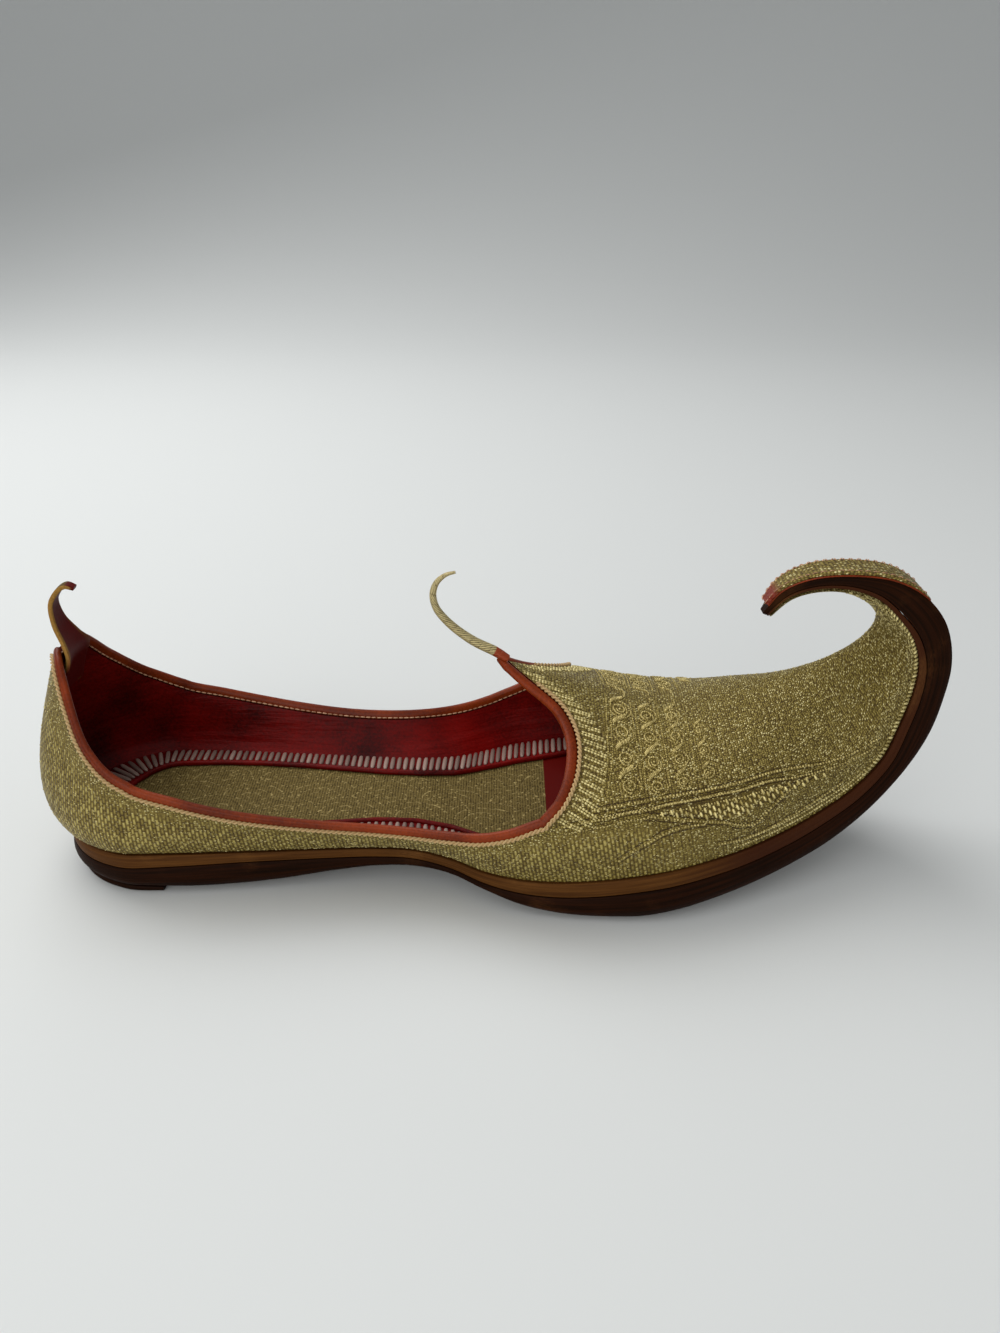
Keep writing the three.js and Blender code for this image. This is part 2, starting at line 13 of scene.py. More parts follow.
import bpy
import numpy as np
from bpy.types import Material, Mesh, Node, NodeSocket, Object
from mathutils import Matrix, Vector


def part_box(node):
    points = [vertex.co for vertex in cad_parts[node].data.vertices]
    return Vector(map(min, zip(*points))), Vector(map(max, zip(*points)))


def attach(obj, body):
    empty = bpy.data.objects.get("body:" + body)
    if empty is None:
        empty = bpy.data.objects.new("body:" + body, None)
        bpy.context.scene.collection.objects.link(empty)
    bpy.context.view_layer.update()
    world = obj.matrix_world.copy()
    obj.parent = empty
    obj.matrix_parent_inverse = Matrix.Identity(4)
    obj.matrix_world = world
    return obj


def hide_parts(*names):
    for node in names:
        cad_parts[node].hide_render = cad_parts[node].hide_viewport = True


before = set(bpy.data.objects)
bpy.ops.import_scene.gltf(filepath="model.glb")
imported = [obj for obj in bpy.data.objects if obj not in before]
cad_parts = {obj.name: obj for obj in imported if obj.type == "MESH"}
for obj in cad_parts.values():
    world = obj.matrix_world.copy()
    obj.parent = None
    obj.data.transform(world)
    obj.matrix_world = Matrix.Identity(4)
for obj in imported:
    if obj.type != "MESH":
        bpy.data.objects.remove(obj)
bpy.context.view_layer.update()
LOG = logging.getLogger("mojari")
MM = 0.001
BODY = "root"
Array = np.ndarray
Plane = dict[str, Array]  # planes of sections, as Last.plane gives them
Depth = Callable[[Plane, Array], Array]  # points of a layer's face, for planes and their rows

# Driving sizes of the last, in millimetres
HEEL = 31.5  # half width of the sole at the heel
BALL = 44.5  # half width of the sole at the ball
HEEL_CENTRE = 40.0  # middle of the heel's round back
WALL = 2.0
GAP = 0.3
SOLE_LEDGE = 1.2
INSOLE_THICKNESS = 1.8
HEEL_BREAST = 46.0
FIRST, CORNER, LAST = 1, 15, 34  # rows: straight back, where the collar meets the throat, tip
SIDE_ROW, ROW_STEP = 5, 15.0  # row where the straight side starts, and the distance to the next one
EDGE_REACH = 0.36  # how far the wall keeps its lean below the collar, a share of its height

SOLE_COLUMNS = ("turn", "x", "z", "bx", "bz", "half", "mid")
SOLE_ROWS = (
    (-22, HEEL_CENTRE, 15.6, HEEL_CENTRE, 3.6, HEEL - 0.2, 5),
    (0, HEEL_CENTRE, 15.6, HEEL_CENTRE, 3.6, HEEL - 0.3, 5),
    (22, HEEL_CENTRE, 15.6, HEEL_CENTRE, 3.6, HEEL - 0.2, 5),
    (45, HEEL_CENTRE, 15.6, HEEL_CENTRE, 3.3, HEEL, 5),
    (68, HEEL_CENTRE, 15.6, HEEL_CENTRE, 2.8, HEEL, 5),
    (90, HEEL_CENTRE, 15.7, HEEL_CENTRE, 2.3, HEEL, 4.8),
    (90, 55, 15.8, 55, 1.7, HEEL - 0.4, 4.2),
    (90, 70, 15.7, 70, 2.1, HEEL - 1.4, 3.6),
    (90, 85, 15.5, 85, 3.5, HEEL - 2.5, 3.2),
    (90, 100, 15.4, 100, 5.9, HEEL - 3.6, 3),
    (90, 114, 15.2, 114, 7.6, HEEL - 4.4, 2.9),
    (90, 127, 14.7, 127, 8.0, HEEL - 4.0, 2.9),
    (90, 139, 13.6, 139, 7.7, HEEL - 0.6, 3.1),
    (90, 150, 12.9, 150, 5.9, BALL - 7.6, 3.8),
    (90, 161, 13.3, 161, 3.0, BALL - 3.2, 4.6),
    (90, 173, 14.0, 173.5, 0.8, BALL - 0.9, 5.2),
    (90, 185, 15.3, 186.5, 0, BALL + 0.2, 5.4),
    (90, 197, 17.2, 199, 0, BALL + 0.6, 5.4),
    (90, 209, 18.8, 211, 1.7, BALL - 0.6, 5.4),
    (90, 221, 20.2, 222.9, 3.8, BALL - 3.9, 5.4),
    (90, 233.3, 21.4, 235.6, 6.0, BALL - 8.9, 5.2),
    (90, 246, 23.7, 249.4, 9.7, BALL - 14.7, 4.8),
    (90, 258.2, 27.1, 263.2, 15.0, BALL - 20.8, 4.3),
    (90, 269.8, 32.5, 276.0, 23.9, BALL - 26.2, 3.7),
    (90, 278.9, 41.1, 286.4, 35.4, BALL - 30.4, 3.2),
    (90, 283.4, 51.8, 293.2, 47.8, BALL - 33.0, 2.9),
    (90, 286.4, 62.2, 296.4, 60.1, BALL - 34.8, 2.6),
    (90, 287.0, 72.0, 297.3, 73.0, BALL - 36.0, 2.2),
    (90, 284.2, 80.7, 293.8, 85.5, BALL - 36.9, 1.8),
    (90, 278.4, 88.1, 286.0, 94.8, BALL - 37.6, 1.4),
    (90, 271.2, 94.2, 275.6, 100.1, BALL - 38.0, 1.2),
    (90, 262, 97.2, 263.2, 101.6, BALL - 38.4, 1),
    (90, 252.6, 97.0, 251.2, 100.4, BALL - 39.2, 0.9),
    (90, 244.6, 93.6, 242.4, 95.8, BALL - 40.6, 0.7),
    (90, 239.2, 86.6, 237.4, 87.4, BALL - 42.6, 0.5),
)

UPPER_COLUMNS = ("rx", "rz", "out", "high", "lean", "flare", "belly", "crown")
UPPER_ROWS = (
    (HEEL_CENTRE, 90, 26.6, 56.9, 19, 62, 0.3, 0.2),
    (HEEL_CENTRE, 90, 27.4, 58, 18, 62, 0.3, 0.2),
    (HEEL_CENTRE, 90, 26.6, 56.9, 19, 62, 0.3, 0.2),
    (HEEL_CENTRE, 90, 27.8, 46.0, 13, 60, 0.3, 0.2),
    (HEEL_CENTRE, 90, 31.6, 34.4, 4, 58, 0.33, 0.2),
    (HEEL_CENTRE, 90, 34.5, 26.3, -6, 54, 0.36, 0.2),
    (55, 90, 36.1, 21.3, -14, 51, 0.38, 0.2),
    (70, 90, 36.5, 17.6, -20, 50, 0.38, 0.2),
    (85, 90, 36.0, 15.0, -24, 54, 0.38, 0.2),
    (100, 90, 35.5, 13.2, -26, 57, 0.38, 0.2),
    (114, 90, 35.8, 12.5, -26, 57, 0.38, 0.2),
    (127, 90, 37.4, 12.7, -22, 54, 0.38, 0.2),
    (139, 84, 40.5, 14.2, -14, 48, 0.38, 0.2),
    (147.5, 76, 44.0, 16.5, -6, 40, 0.38, 0.2),
    (154, 72, 46.2, 19.4, 2, 32, 0.38, 0.2),
    (164, 66.8, 46.6, 23.4, 12, 26, 0.38, 0.22),
    (176.5, 63.2, 46.0, 23.9, 19, 22, 0.38, 0.26),
    (189.5, 59.2, 44.4, 22.6, 22, 20, 0.38, 0.32),
    (201.5, 56.8, 41.8, 20.8, 23, 18, 0.38, 0.38),
    (213, 56.9, 38.6, 19.6, 24, 16, 0.38, 0.42),
    (223.5, 58.6, 34.3, 19.0, 24, 14, 0.38, 0.46),
    (233.5, 61.1, 29.0, 18.6, 25, 13, 0.38, 0.5),
    (243, 63.4, 23.4, 17.5, 26, 12, 0.38, 0.5),
    (251.5, 66.4, 18.2, 15.4, 27, 11, 0.38, 0.5),
    (258.8, 69.8, 14.0, 12.8, 28, 10, 0.38, 0.5),
    (265, 73.5, 11.1, 10.6, 29, 9, 0.38, 0.5),
    (270, 77.6, 9.3, 8.4, 30, 8, 0.38, 0.5),
    (273.2, 82.0, 8.2, 6.2, 32, 7, 0.38, 0.5),
    (273.9, 85.8, 7.3, 3.8, 36, 6, 0.38, 0.5),
    (272.6, 88.2, 6.7, 2.4, 40, 4, 0.38, 0.5),
    (269.4, 91.2, 6.3, 1.5, 45, 2, 0.38, 0.5),
    (261.8, 94.7, 5.9, 1.1, 50, 0, 0.38, 0.5),
    (253.4, 94.7, 5.1, 1, 50, 0, 0.38, 0.5),
    (246.2, 91.9, 3.8, 0.9, 50, 0, 0.38, 0.5),
    (240.8, 86.1, 1.8, 0.7, 50, 0, 0.38, 0.5),
)

THROAT_ROWS = (  # rise over the vamp, row of the last
    (0, CORNER), (0.06, 15.26), (0.12, 15.51), (0.2, 15.72), (0.28, 15.88), (0.37, 16.0), (0.46, 16.07),
    (0.55, 16.06), (0.64, 15.95), (0.72, 15.75), (0.8, 15.4), (0.87, 15.03), (0.93, 14.72), (1, 14.4),
)

# Lines of the brocade's pattern: row of the last and height on the wall at each point
MAIN_BAND = (
    (15.4, 0.99), (16, 1.01), (16.5, 1.02), (17, 1.05), (17.5, 1.06), (18, 1.09), (18.5, 1.1), (19, 1.1),
    (19.5, 1.1), (20, 1.08), (20.75, 1.06), (21.25, 1.02), (22, 0.92), (22.6, 0.83), (23.4, 0.68),
    (24.05, 0.45),
)
HIGH_BAND = (
    (16.2, 1.09), (17, 1.12), (18, 1.16), (19, 1.165), (20, 1.15), (21, 1.12), (22, 1.04), (22.9, 0.92),
    (23.9, 0.7), (24.3, 0.52),
)
BRANCH = (
    (17.5, 1.0), (18, 0.94), (18.5, 0.86), (19, 0.78), (19.5, 0.68), (20.1, 0.48), (20.35, 0.47),
    (20.7, 0.62), (21.2, 0.76), (21.7, 0.86), (22.2, 0.87),
)
SATIN_FOOT = (
    (17.5, 1.02), (18, 0.99), (18.5, 0.91), (19, 0.83), (19.5, 0.76), (20, 0.72), (21, 0.8), (22, 0.78),
    (23, 0.72),
)
LEAF = ((16.6, 0.36), (17, 0.5), (17.5, 0.63), (18, 0.74), (18.5, 0.77), (19, 0.74))
FOOT_LINE = ((19.2, 0.3), (19.8, 0.24), (20.4, 0.22), (21, 0.24), (21.6, 0.27), (22.2, 0.3), (22.8, 0.34))
RIB_END = (
    (15.8, 1.1), (16.4, 1.2), (16.6, 1.3), (16.7, 1.4), (16.78, 1.5), (16.86, 1.6), (16.95, 1.75), (17.0, 2),
)
PATTERN_LINES = (  # points, width of its groove, whether a second row of stitches runs beside it
    (MAIN_BAND, 1.0, True), (HIGH_BAND, 1.0, True), (BRANCH, 2.3, False), (LEAF, 2.3, False),
    (FOOT_LINE, 2.3, False),
)
RIB_DROP = (  # rises over the vamp, and how far a rib sinks from its root to its end
    (0.05, 0.15, 0.25, 0.4, 0.6, 1.0), (0.13, 0.11, 0.075, 0.04, 0.01, 0.0),
)
BORDER_ROWS = (  # row at its foot, row at its top, height of its foot
    (16.5, 16.98, 1.2), (16.61, 17.09, 1.2), (17.5, 17.62, 1.22), (17.6, 17.72, 1.22), (18.24, 18.36, 1.24),
    (18.96, 19.1, 1.26),
)
SCROLL_ROWS = (  # row and height of the lowest scroll, pitch up the wall, how many, size
    (17.2, 1.3, 0.185, 4, 1.0), (17.92, 1.29, 0.18, 4, 0.9), (18.62, 1.3, 0.175, 4, 0.75),
    (19.32, 1.33, 0.17, 3, 0.6),
)
STEM = (  # a scroll's stem, in half widths along and half heights up
    (-1.15, -0.6, 0.1, 0.8, 1.15, 1.05), (0.05, 0.75, 1.15, 1.7, 2.5, 3.3),
)

# The rest of the shoe and its studio
ROLL_ROWS = (  # row of the last, half width of the footbed at the roll
    (1, 14.5), (2, 14.5), (3, 15.2), (4, 17.6), (5, 19.6), (6, 20.2), (7, 19.8), (8, 18.6), (9, 16.6),
    (10, 14.8), (11, 14.6), (12, 16.6), (13, 21.4), (14, 25.0), (15, 27.6), (16, 29.6), (17, 30.4),
    (18, 29.8), (19, 27.5), (20, 23.5), (21, 18.5), (22, 13.0),
)
TAIL_ROWS = (  # x, z, half width, half thickness
    (157.4, 70.6, 1.7, 1.4), (153.3, 73.4, 1.8, 1.6), (147.2, 76.6, 1.7, 1.5), (142.2, 80.2, 1.5, 1.4),
    (138.0, 84.2, 1.4, 1.3), (135.0, 88.4, 1.3, 1.2), (134.0, 93.0, 1.1, 1.1), (135.2, 97.0, 0.95, 0.95),
    (138.0, 99.6, 0.7, 0.7), (141.2, 100.6, 0.45, 0.45),
)
TAB_ROWS = (
    (13.4, 60, 9.5, 0.9), (15.2, 67, 10, 0.9), (18.0, 73.5, 9.4, 0.9), (17.2, 78, 6.8, 0.9),
    (15.0, 84, 4.6, 0.9), (14.6, 90.2, 3.2, 0.85), (16.8, 94.2, 2.6, 0.8), (19.6, 96.2, 2.2, 0.7),
    (22.4, 95.4, 1.6, 0.6),
)
LIGHTS = (  # name, place, size, power, colour
    ("back_light", (-0.5, 0.5, 0.9), 1.0, 8.0, (1, 0.99, 0.98)),
    ("top_light", (-0.5, -0.3, 1.2), 1.6, 6.0, (1, 0.99, 0.97)),
    ("front_light", (-0.3, -1.0, 0.3), 1.0, 5.5, (1, 0.98, 0.95)),
)


def columns(names: Sequence[str], rows: Sequence[Sequence[float]]) -> dict[str, Array]:
    """Turns rows of numbers into named columns.

    Args:
        names: One name a column.
        rows: The rows of the table.

    Returns:
        An array for each name.
    """
    values = np.array(rows, float)
    return {name: values[:, i] for i, name in enumerate(names)}


def smooth(values: Array, at: Array) -> Array:
    """Cubic through the rows of a column.

    Args:
        values: The column.
        at: Places, counted in rows.

    Returns:
        The column's value at each place.
    """
    at = np.asarray(at, float)
    last = len(values) - 1
    i = np.clip(np.floor(at).astype(int), 0, last - 1)
    f = at - i
    a, b, c, d = (values[np.clip(i + k, 0, last)] for k in (-1, 0, 1, 2))
    return b + 0.5 * f * (c - a + f * (2 * a - 5 * b + 4 * c - d + f * (3 * (b - c) + d - a)))


def unit(vectors: Array) -> Array:
    """Vectors at length one."""
    return vectors / np.maximum(np.linalg.norm(vectors, axis=-1, keepdims=True), 1e-12)


def mirrored(points: Array) -> Array:
    """The same points on the far side of the shoe."""
    return points * np.array([1.0, -1.0, 1.0])


def mix(a: Array, b: Array, share: Array) -> Array:
    """Points between a and b."""
    return a + (b - a) * share


def together(at: Array, g: Array) -> Sequence[Array]:
    """Rows and heights as arrays of one shape."""
    return np.broadcast_arrays(np.asarray(at, float), np.asarray(g, float))


def there_and_back(near: Array) -> Array:
    """A line of the near side that goes on as its mirror image, back on the far side."""
    return np.concatenate([near, mirrored(near[:-1])[::-1]])


def running(points: Array) -> Array:
    """The length along a line, from its start to each of its points."""
    return np.concatenate([[0], np.cumsum(np.linalg.norm(np.diff(points, axis=0), axis=-1))])


def sampled(stops: Array, reach: Array, *lines: Array) -> list[Array]:
    """Points or ways of several lines, read at the same stops.

    Args:
        stops: Lengths to read at.
        reach: Length at each row of the lines.
        lines: Three numbers a row.

    Returns:
        The rows of each line at the stops.
    """
    return [np.stack([np.interp(stops, reach, line[:, k]) for k in range(3)], -1) for line in lines]


def srgb(red: float, green: float, blue: float) -> tuple[float, float, float]:
    """Turns a colour linear.

    Args:
        red: Red as it is seen, 0 to 255.
        green: Green.
        blue: Blue.

    Returns:
        The linear colour that a shader takes.
    """
    def linear(part: float) -> float:
        """One channel made linear."""
        part = part / 255
        return part / 12.92 if part <= 0.04045 else ((part + 0.055) / 1.055) ** 2.4
    return linear(red), linear(green), linear(blue)


class Last:
    """The form that every piece of the shoe follows, worked out from the tables."""

    LOOKUP = (331, 61)  # rows along and up in the table of lengths
    LENGTH_LINE = 18  # row up, of those, on which the length from the heel is measured
    STEP = 0.03  # for the wall's slopes, in rows

    def __init__(self) -> None:
        """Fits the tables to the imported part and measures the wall."""
        self.sole = columns(SOLE_COLUMNS, SOLE_ROWS)
        self.upper = columns(UPPER_COLUMNS, UPPER_ROWS)
        self.rises, self.places = np.array(THROAT_ROWS, float).T
        toe = smooth(self.sole["bx"], np.linspace(FIRST, LAST, 69)).max()
        self.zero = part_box("outsole")[1].x / MM - toe
        rows, heights = np.linspace(FIRST, LAST, self.LOOKUP[0]), np.linspace(0, 2, self.LOOKUP[1])
        points = self.wall(*np.meshgrid(rows, heights, indexing="ij"))
        up = np.linalg.norm(np.diff(points, axis=1), axis=-1)
        self.lengths = running(points[:, self.LENGTH_LINE])
        self.heights = np.concatenate([np.zeros((self.LOOKUP[0], 1)), np.cumsum(up, axis=1)], axis=1)

    def plane(self, at: Array) -> Plane:
        """The planes of sections.

        Args:
            at: Rows of the last.

        Returns:
            foot, under, out and up as vectors, height and half as numbers, in millimetres.
        """
        at = np.asarray(at, float)
        turn = np.radians(smooth(self.sole["turn"], at))
        nothing = np.zeros_like(turn)
        foot = np.stack([smooth(self.sole["x"], at), nothing, smooth(self.sole["z"], at)], -1)
        low = np.maximum(smooth(self.sole["bz"], at), 0)
        under = np.stack([smooth(self.sole["bx"], at), nothing, low], -1)
        ridge = np.stack([smooth(self.upper["rx"], at), nothing, smooth(self.upper["rz"], at)], -1)
        out = np.stack([-np.cos(turn), -np.sin(turn), nothing], -1)
        out[out[..., 0] > -1e-9] = (0, -1, 0)
        up = ridge - foot
        height = np.linalg.norm(up, axis=-1)
        half = smooth(self.sole["half"], at)
        return {"foot": foot, "under": under, "out": out, "up": unit(up), "height": height, "half": half}

    def inside(self, plane: Plane, sideways: Array, high: Array) -> Array:
        """Points of a section plane, as metres in the part's frame."""
        return self.placed(plane["foot"] + plane["out"] * sideways[..., None] + plane["up"] * high[..., None])

    def placed(self, points: Array) -> Array:
        """Millimetres of the tables as metres of the part."""
        return (points + np.array([self.zero, 0, 0])) * MM

    @staticmethod
    def bezier(points: Sequence[Sequence[Array]], f: Array) -> tuple[Array, Array]:
        """A cubic through its first and last point, drawn by the two between.

        Args:
            points: Four points, each sideways and high.
            f: Places along it, 0 to 1.

        Returns:
            Sideways and high for each place.
        """
        g = 1 - f
        weights = (g * g * g, 3 * g * g * f, 3 * g * f * f, f * f * f)
        sideways = sum(weight * point[0] for weight, point in zip(weights, points))
        high = sum(weight * point[1] for weight, point in zip(weights, points))
        return sideways, high

    def lower(self, at: Array, f: Array) -> Array:
        """The wall's outer face below the collar or shoulder.

        Args:
            at: Rows of the last.
            f: Heights, 0 on the sole and 1 on the collar or shoulder.

        Returns:
            Points of the near side.
        """
        plane = self.plane(at)
        lean, flare = (np.radians(smooth(self.upper[name], at)) for name in ("lean", "flare"))
        start = (plane["half"] - SOLE_LEDGE, np.full_like(plane["half"], GAP))
        end = (smooth(self.upper["out"], at), smooth(self.upper["high"], at))
        span = np.hypot(end[0] - start[0], end[1] - start[1])
        belly = smooth(self.upper["belly"], at) * span
        first = (start[0] + belly * np.sin(flare), start[1] + belly * np.cos(flare))
        second = (end[0] + EDGE_REACH * span * np.sin(lean), end[1] - EDGE_REACH * span * np.cos(lean))
        return self.inside(plane, *self.bezier((start, first, second, end), f))

    def vamp(self, at: Array, f: Array) -> Array:
        """The vamp's outer face above the shoulder.

        Args:
            at: Rows of the last.
            f: Heights, 0 on the shoulder and 1 on the ridge.

        Returns:
            Points of the near side.
        """
        plane = self.plane(at)
        lean = np.radians(smooth(self.upper["lean"], at))
        start = (smooth(self.upper["out"], at), smooth(self.upper["high"], at))
        end = (np.zeros_like(start[0]), plane["height"])
        reach = 0.5 * (end[1] - start[1])
        first = (start[0] - reach * np.sin(lean), start[1] + reach * np.cos(lean))
        second = (smooth(self.upper["crown"], at) * start[0], end[1])
        sideways, high = self.bezier((start, first, second, end), f)
        return self.inside(plane, np.maximum(sideways, 0), high)

    def wall(self, at: Array, g: Array) -> Array:
        """The whole outer face of the near side.

        Args:
            at: Rows of the last.
            g: Heights, 0 on the sole, 1 on the collar or shoulder and 2 on the ridge.

        Returns:
            Its points.
        """
        at, g = together(at, g)
        low = self.lower(at, np.clip(g, 0, 1))
        high = self.vamp(at, np.clip(g - 1, 0, 1))
        return np.where((g <= 1)[..., None], low, high)

    def normal(self, at: Array, g: Array) -> Array:
        """The outward normal of the wall, by small differences.

        Args:
            at: Rows of the last.
            g: Heights on the wall, 0 to 2.

        Returns:
            A vector of length one for each place.
        """
        at, g = together(at, g)
        step = self.STEP
        along = self.wall(np.minimum(at + step, LAST), g) - self.wall(np.maximum(at - step, FIRST), g)
        rise = self.wall(at, np.minimum(g + step, 2)) - self.wall(at, np.maximum(g - step, 0))
        return unit(np.cross(along, rise))

    def inner(self, at: Array, g: Array) -> Array:
        """The wall's inner face, flat on the sole at its foot.

        Args:
            at: Rows of the last.
            g: Heights on the wall, 0 to 2.

        Returns:
            Its points.
        """
        at, g = together(at, g)
        points = self.wall(at, g) - self.normal(at, g) * WALL * MM
        points[..., 1] = np.where((at == FIRST) | (g == 2), 0, points[..., 1])
        plane = self.plane(at)
        flare = np.radians(smooth(self.upper["flare"], at))
        sideways = plane["half"] - SOLE_LEDGE - WALL / np.cos(flare)
        foot = self.inside(plane, sideways, np.full_like(sideways, GAP))
        return np.where((g == 0)[..., None], foot, points)

    def throat(self, rise: Array) -> Array:
        """Where the throat's edge lies.

        Args:
            rise: Rises over the vamp, 0 at the collar's corner and 1 at the peak.

        Returns:
            The row of the last for each.
        """
        i = np.clip(np.searchsorted(self.rises[1:], rise), 0, len(self.rises) - 2)
        f = (rise - self.rises[i]) / (self.rises[i + 1] - self.rises[i])
        return smooth(self.places, i + f)

    def cloth(self, at: Array, g: Array) -> Array:
        """Where a point of the wall lies on the cloth: its length from the heel and its height up the wall.

        Args:
            at: Rows of the last.
            g: Heights on the wall, 0 to 2.

        Returns:
            Two lengths in metres for each point.
        """
        at, g = together(at, g)
        i = np.clip((at - FIRST) / (LAST - FIRST), 0, 1) * (self.LOOKUP[0] - 1)
        j = np.clip(g / 2, 0, 1) * (self.LOOKUP[1] - 1)
        i0 = np.minimum(i.astype(int), self.LOOKUP[0] - 2)
        j0 = np.minimum(j.astype(int), self.LOOKUP[1] - 2)
        fi, fj = i - i0, j - j0
        length = self.lengths[i0] * (1 - fi) + self.lengths[i0 + 1] * fi
        low = self.heights[i0, j0] * (1 - fi) + self.heights[i0 + 1, j0] * fi
        high = self.heights[i0, j0 + 1] * (1 - fi) + self.heights[i0 + 1, j0 + 1] * fi
        return np.stack([length, low * (1 - fj) + high * fj], -1)


class Bench:
    """The hand work that every piece is made with."""

    @staticmethod
    def clear() -> None:
        """Leaves edit mode and deselects everything."""
        if bpy.context.object and bpy.context.object.mode != "OBJECT":
            bpy.ops.object.mode_set(mode="OBJECT")
        bpy.ops.object.select_all(action="DESELECT")

    @staticmethod
    def take(*pieces: Object) -> None:
        """Selects pieces and makes the first of them active."""
        Bench.clear()
        for piece in pieces:
            piece.select_set(True)
        bpy.context.view_layer.objects.active = pieces[0]

    @staticmethod
    def sheet(
        name: str,
        points: Array,
        uv: Optional[Array] = None,
        material: Optional[Material] = None,
        place: Optional[Array] = None,
    ) -> Object:
        """Lays a grid of points as a sheet.

        Args:
            name: Name of the piece.
            points: Rows and columns of points in metres.
            uv: Two lengths for each point, for the pattern.
            material: Finish of the sheet.
            place: Row of the last and height on the wall of each point, for the finish.

        Returns:
            The sheet as an object.
        """
        rows, cols = points.shape[:2]
        Bench.clear()
        bpy.ops.mesh.primitive_grid_add(x_subdivisions=cols - 1, y_subdivisions=rows - 1, size=1)
        piece = bpy.context.object
        piece.name = piece.data.name = name
        mesh = piece.data
        mesh.vertices.foreach_set("co", points.astype(np.float32).ravel())
        if uv is not None:
            corners = np.empty(len(mesh.loops), np.int32)
            mesh.loops.foreach_get("vertex_index", corners)
            flat = uv.reshape(-1, 2)[corners].astype(np.float32)
            mesh.uv_layers[0].data.foreach_set("uv", flat.ravel())
        if place is not None:
            Bench.mark(mesh, place.reshape(-1, 2))
        if material:
            mesh.materials.append(material)
        mesh.update()
        return piece

    @staticmethod
    def mark(mesh: Mesh, place: Array) -> None:
        """Keeps two numbers on each point of a mesh, for its finish.

        Args:
            mesh: The mesh.
            place: Two numbers a point.
        """
        layer = mesh.attributes.new("place", "FLOAT_VECTOR", "POINT")
        full = np.concatenate([place, np.zeros((len(place), 1))], axis=1)
        layer.data.foreach_set("vector", full.astype(np.float32).ravel())

    @staticmethod
    def join(name: str, pieces: Sequence[Object], weld: float = 0.01 * MM) -> Object:
        """Joins sheets at their shared edges into one closed skin that faces outwards.

        Args:
            name: Name of the joined piece.
            pieces: The sheets.
            weld: Distance under which two points become one.

        Returns:
            The joined piece.
        """
        Bench.take(*pieces)
        if len(pieces) > 1:
            bpy.ops.object.join()
        piece = bpy.context.object
        piece.name = piece.data.name = name
        bpy.ops.object.mode_set(mode="EDIT")
        bpy.ops.mesh.select_all(action="SELECT")
        bpy.ops.mesh.remove_doubles(threshold=weld)
        bpy.ops.mesh.normals_make_consistent(inside=False)
        bpy.ops.object.mode_set(mode="OBJECT")
        return piece

    @staticmethod
    def soften(piece: Object, angle: float = 40.0) -> None:
        """Shades a piece smooth.

        Args:
            piece: The piece.
            angle: Angle over which edges stay crisp, in degrees.
        """
        Bench.take(piece)
        bpy.ops.object.shade_smooth_by_angle(angle=math.radians(angle))
        Bench.clear()

    @staticmethod
    def rings(
        name: str,
        rings: Array,
        material: Material,
        capped: tuple[bool, bool] = (True, True),
    ) -> Object:
        """Makes a closed bar from its cross sections.

        Args:
            name: Name of the piece.
            rings: One row of points a section, not repeated at its end.
            material: Finish of the bar.
            capped: Whether the first and last section are closed to their middle.

        Returns:
            The bar, with the length along it and the length round it as its UV map.
        """
        closed = np.concatenate([rings, rings[:, :1]], axis=1)
        if capped[0]:
            pole = np.broadcast_to(rings[0].mean(0), closed[0].shape)
            closed = np.concatenate([pole[None], closed])
        if capped[1]:
            pole = np.broadcast_to(rings[-1].mean(0), closed[0].shape)
            closed = np.concatenate([closed, pole[None]])
        along = running(closed.mean(1))
        widths = np.linalg.norm(np.diff(closed, axis=1), axis=-1).mean(0)
        around = np.concatenate([[0], np.cumsum(widths)])
        uv = np.stack(np.meshgrid(along, around, indexing="ij"), -1)
        sheet = Bench.sheet(name, closed, uv, material)
        return Bench.join(name, [sheet], weld=0.002 * MM)

    @staticmethod
    def tube(
        name: str,
        centres: Array,
        across: Array,
        over: Array,
        material: Material,
        sides: int = 12,
        square: float = 1.0,
    ) -> Object:
        """Sweeps a rounded section along a path.

        Args:
            name: Name of the piece.
            centres: Points of the path.
            across: Half width of the section at each point, as a vector.
            over: Half height of the section at each point, as a vector.
            material: Finish of the bar.
            sides: Number of sides of the section.
            square: 1 for an ellipse, smaller for squarer corners.

        Returns:
            The swept bar.
        """
        angles = np.arange(sides) * 2 * math.pi / sides
        wide = np.sign(np.cos(angles)) * np.abs(np.cos(angles)) ** square
        high = np.sign(np.sin(angles)) * np.abs(np.sin(angles)) ** square
        rings = centres[:, None] + across[:, None] * wide[None, :, None] + over[:, None] * high[None, :, None]
        return Bench.rings(name, rings, material)

    @staticmethod
    def finish(piece: Object, slot: str, stands_for: Sequence[str] = (), angle: float = 40.0) -> None:
        """Shades a piece, ties it to the shoe's body and hides the solids that it replaces.

        Args:
            piece: The piece.
            slot: Not used.
            stands_for: Solids that it replaces.
            angle: Angle up to which edges are shaded smooth, in degrees.
        """
        Bench.soften(piece, angle)
        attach(piece, BODY)
        if stands_for:
            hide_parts(*stands_for)
        LOG.info("built %s", piece.name)


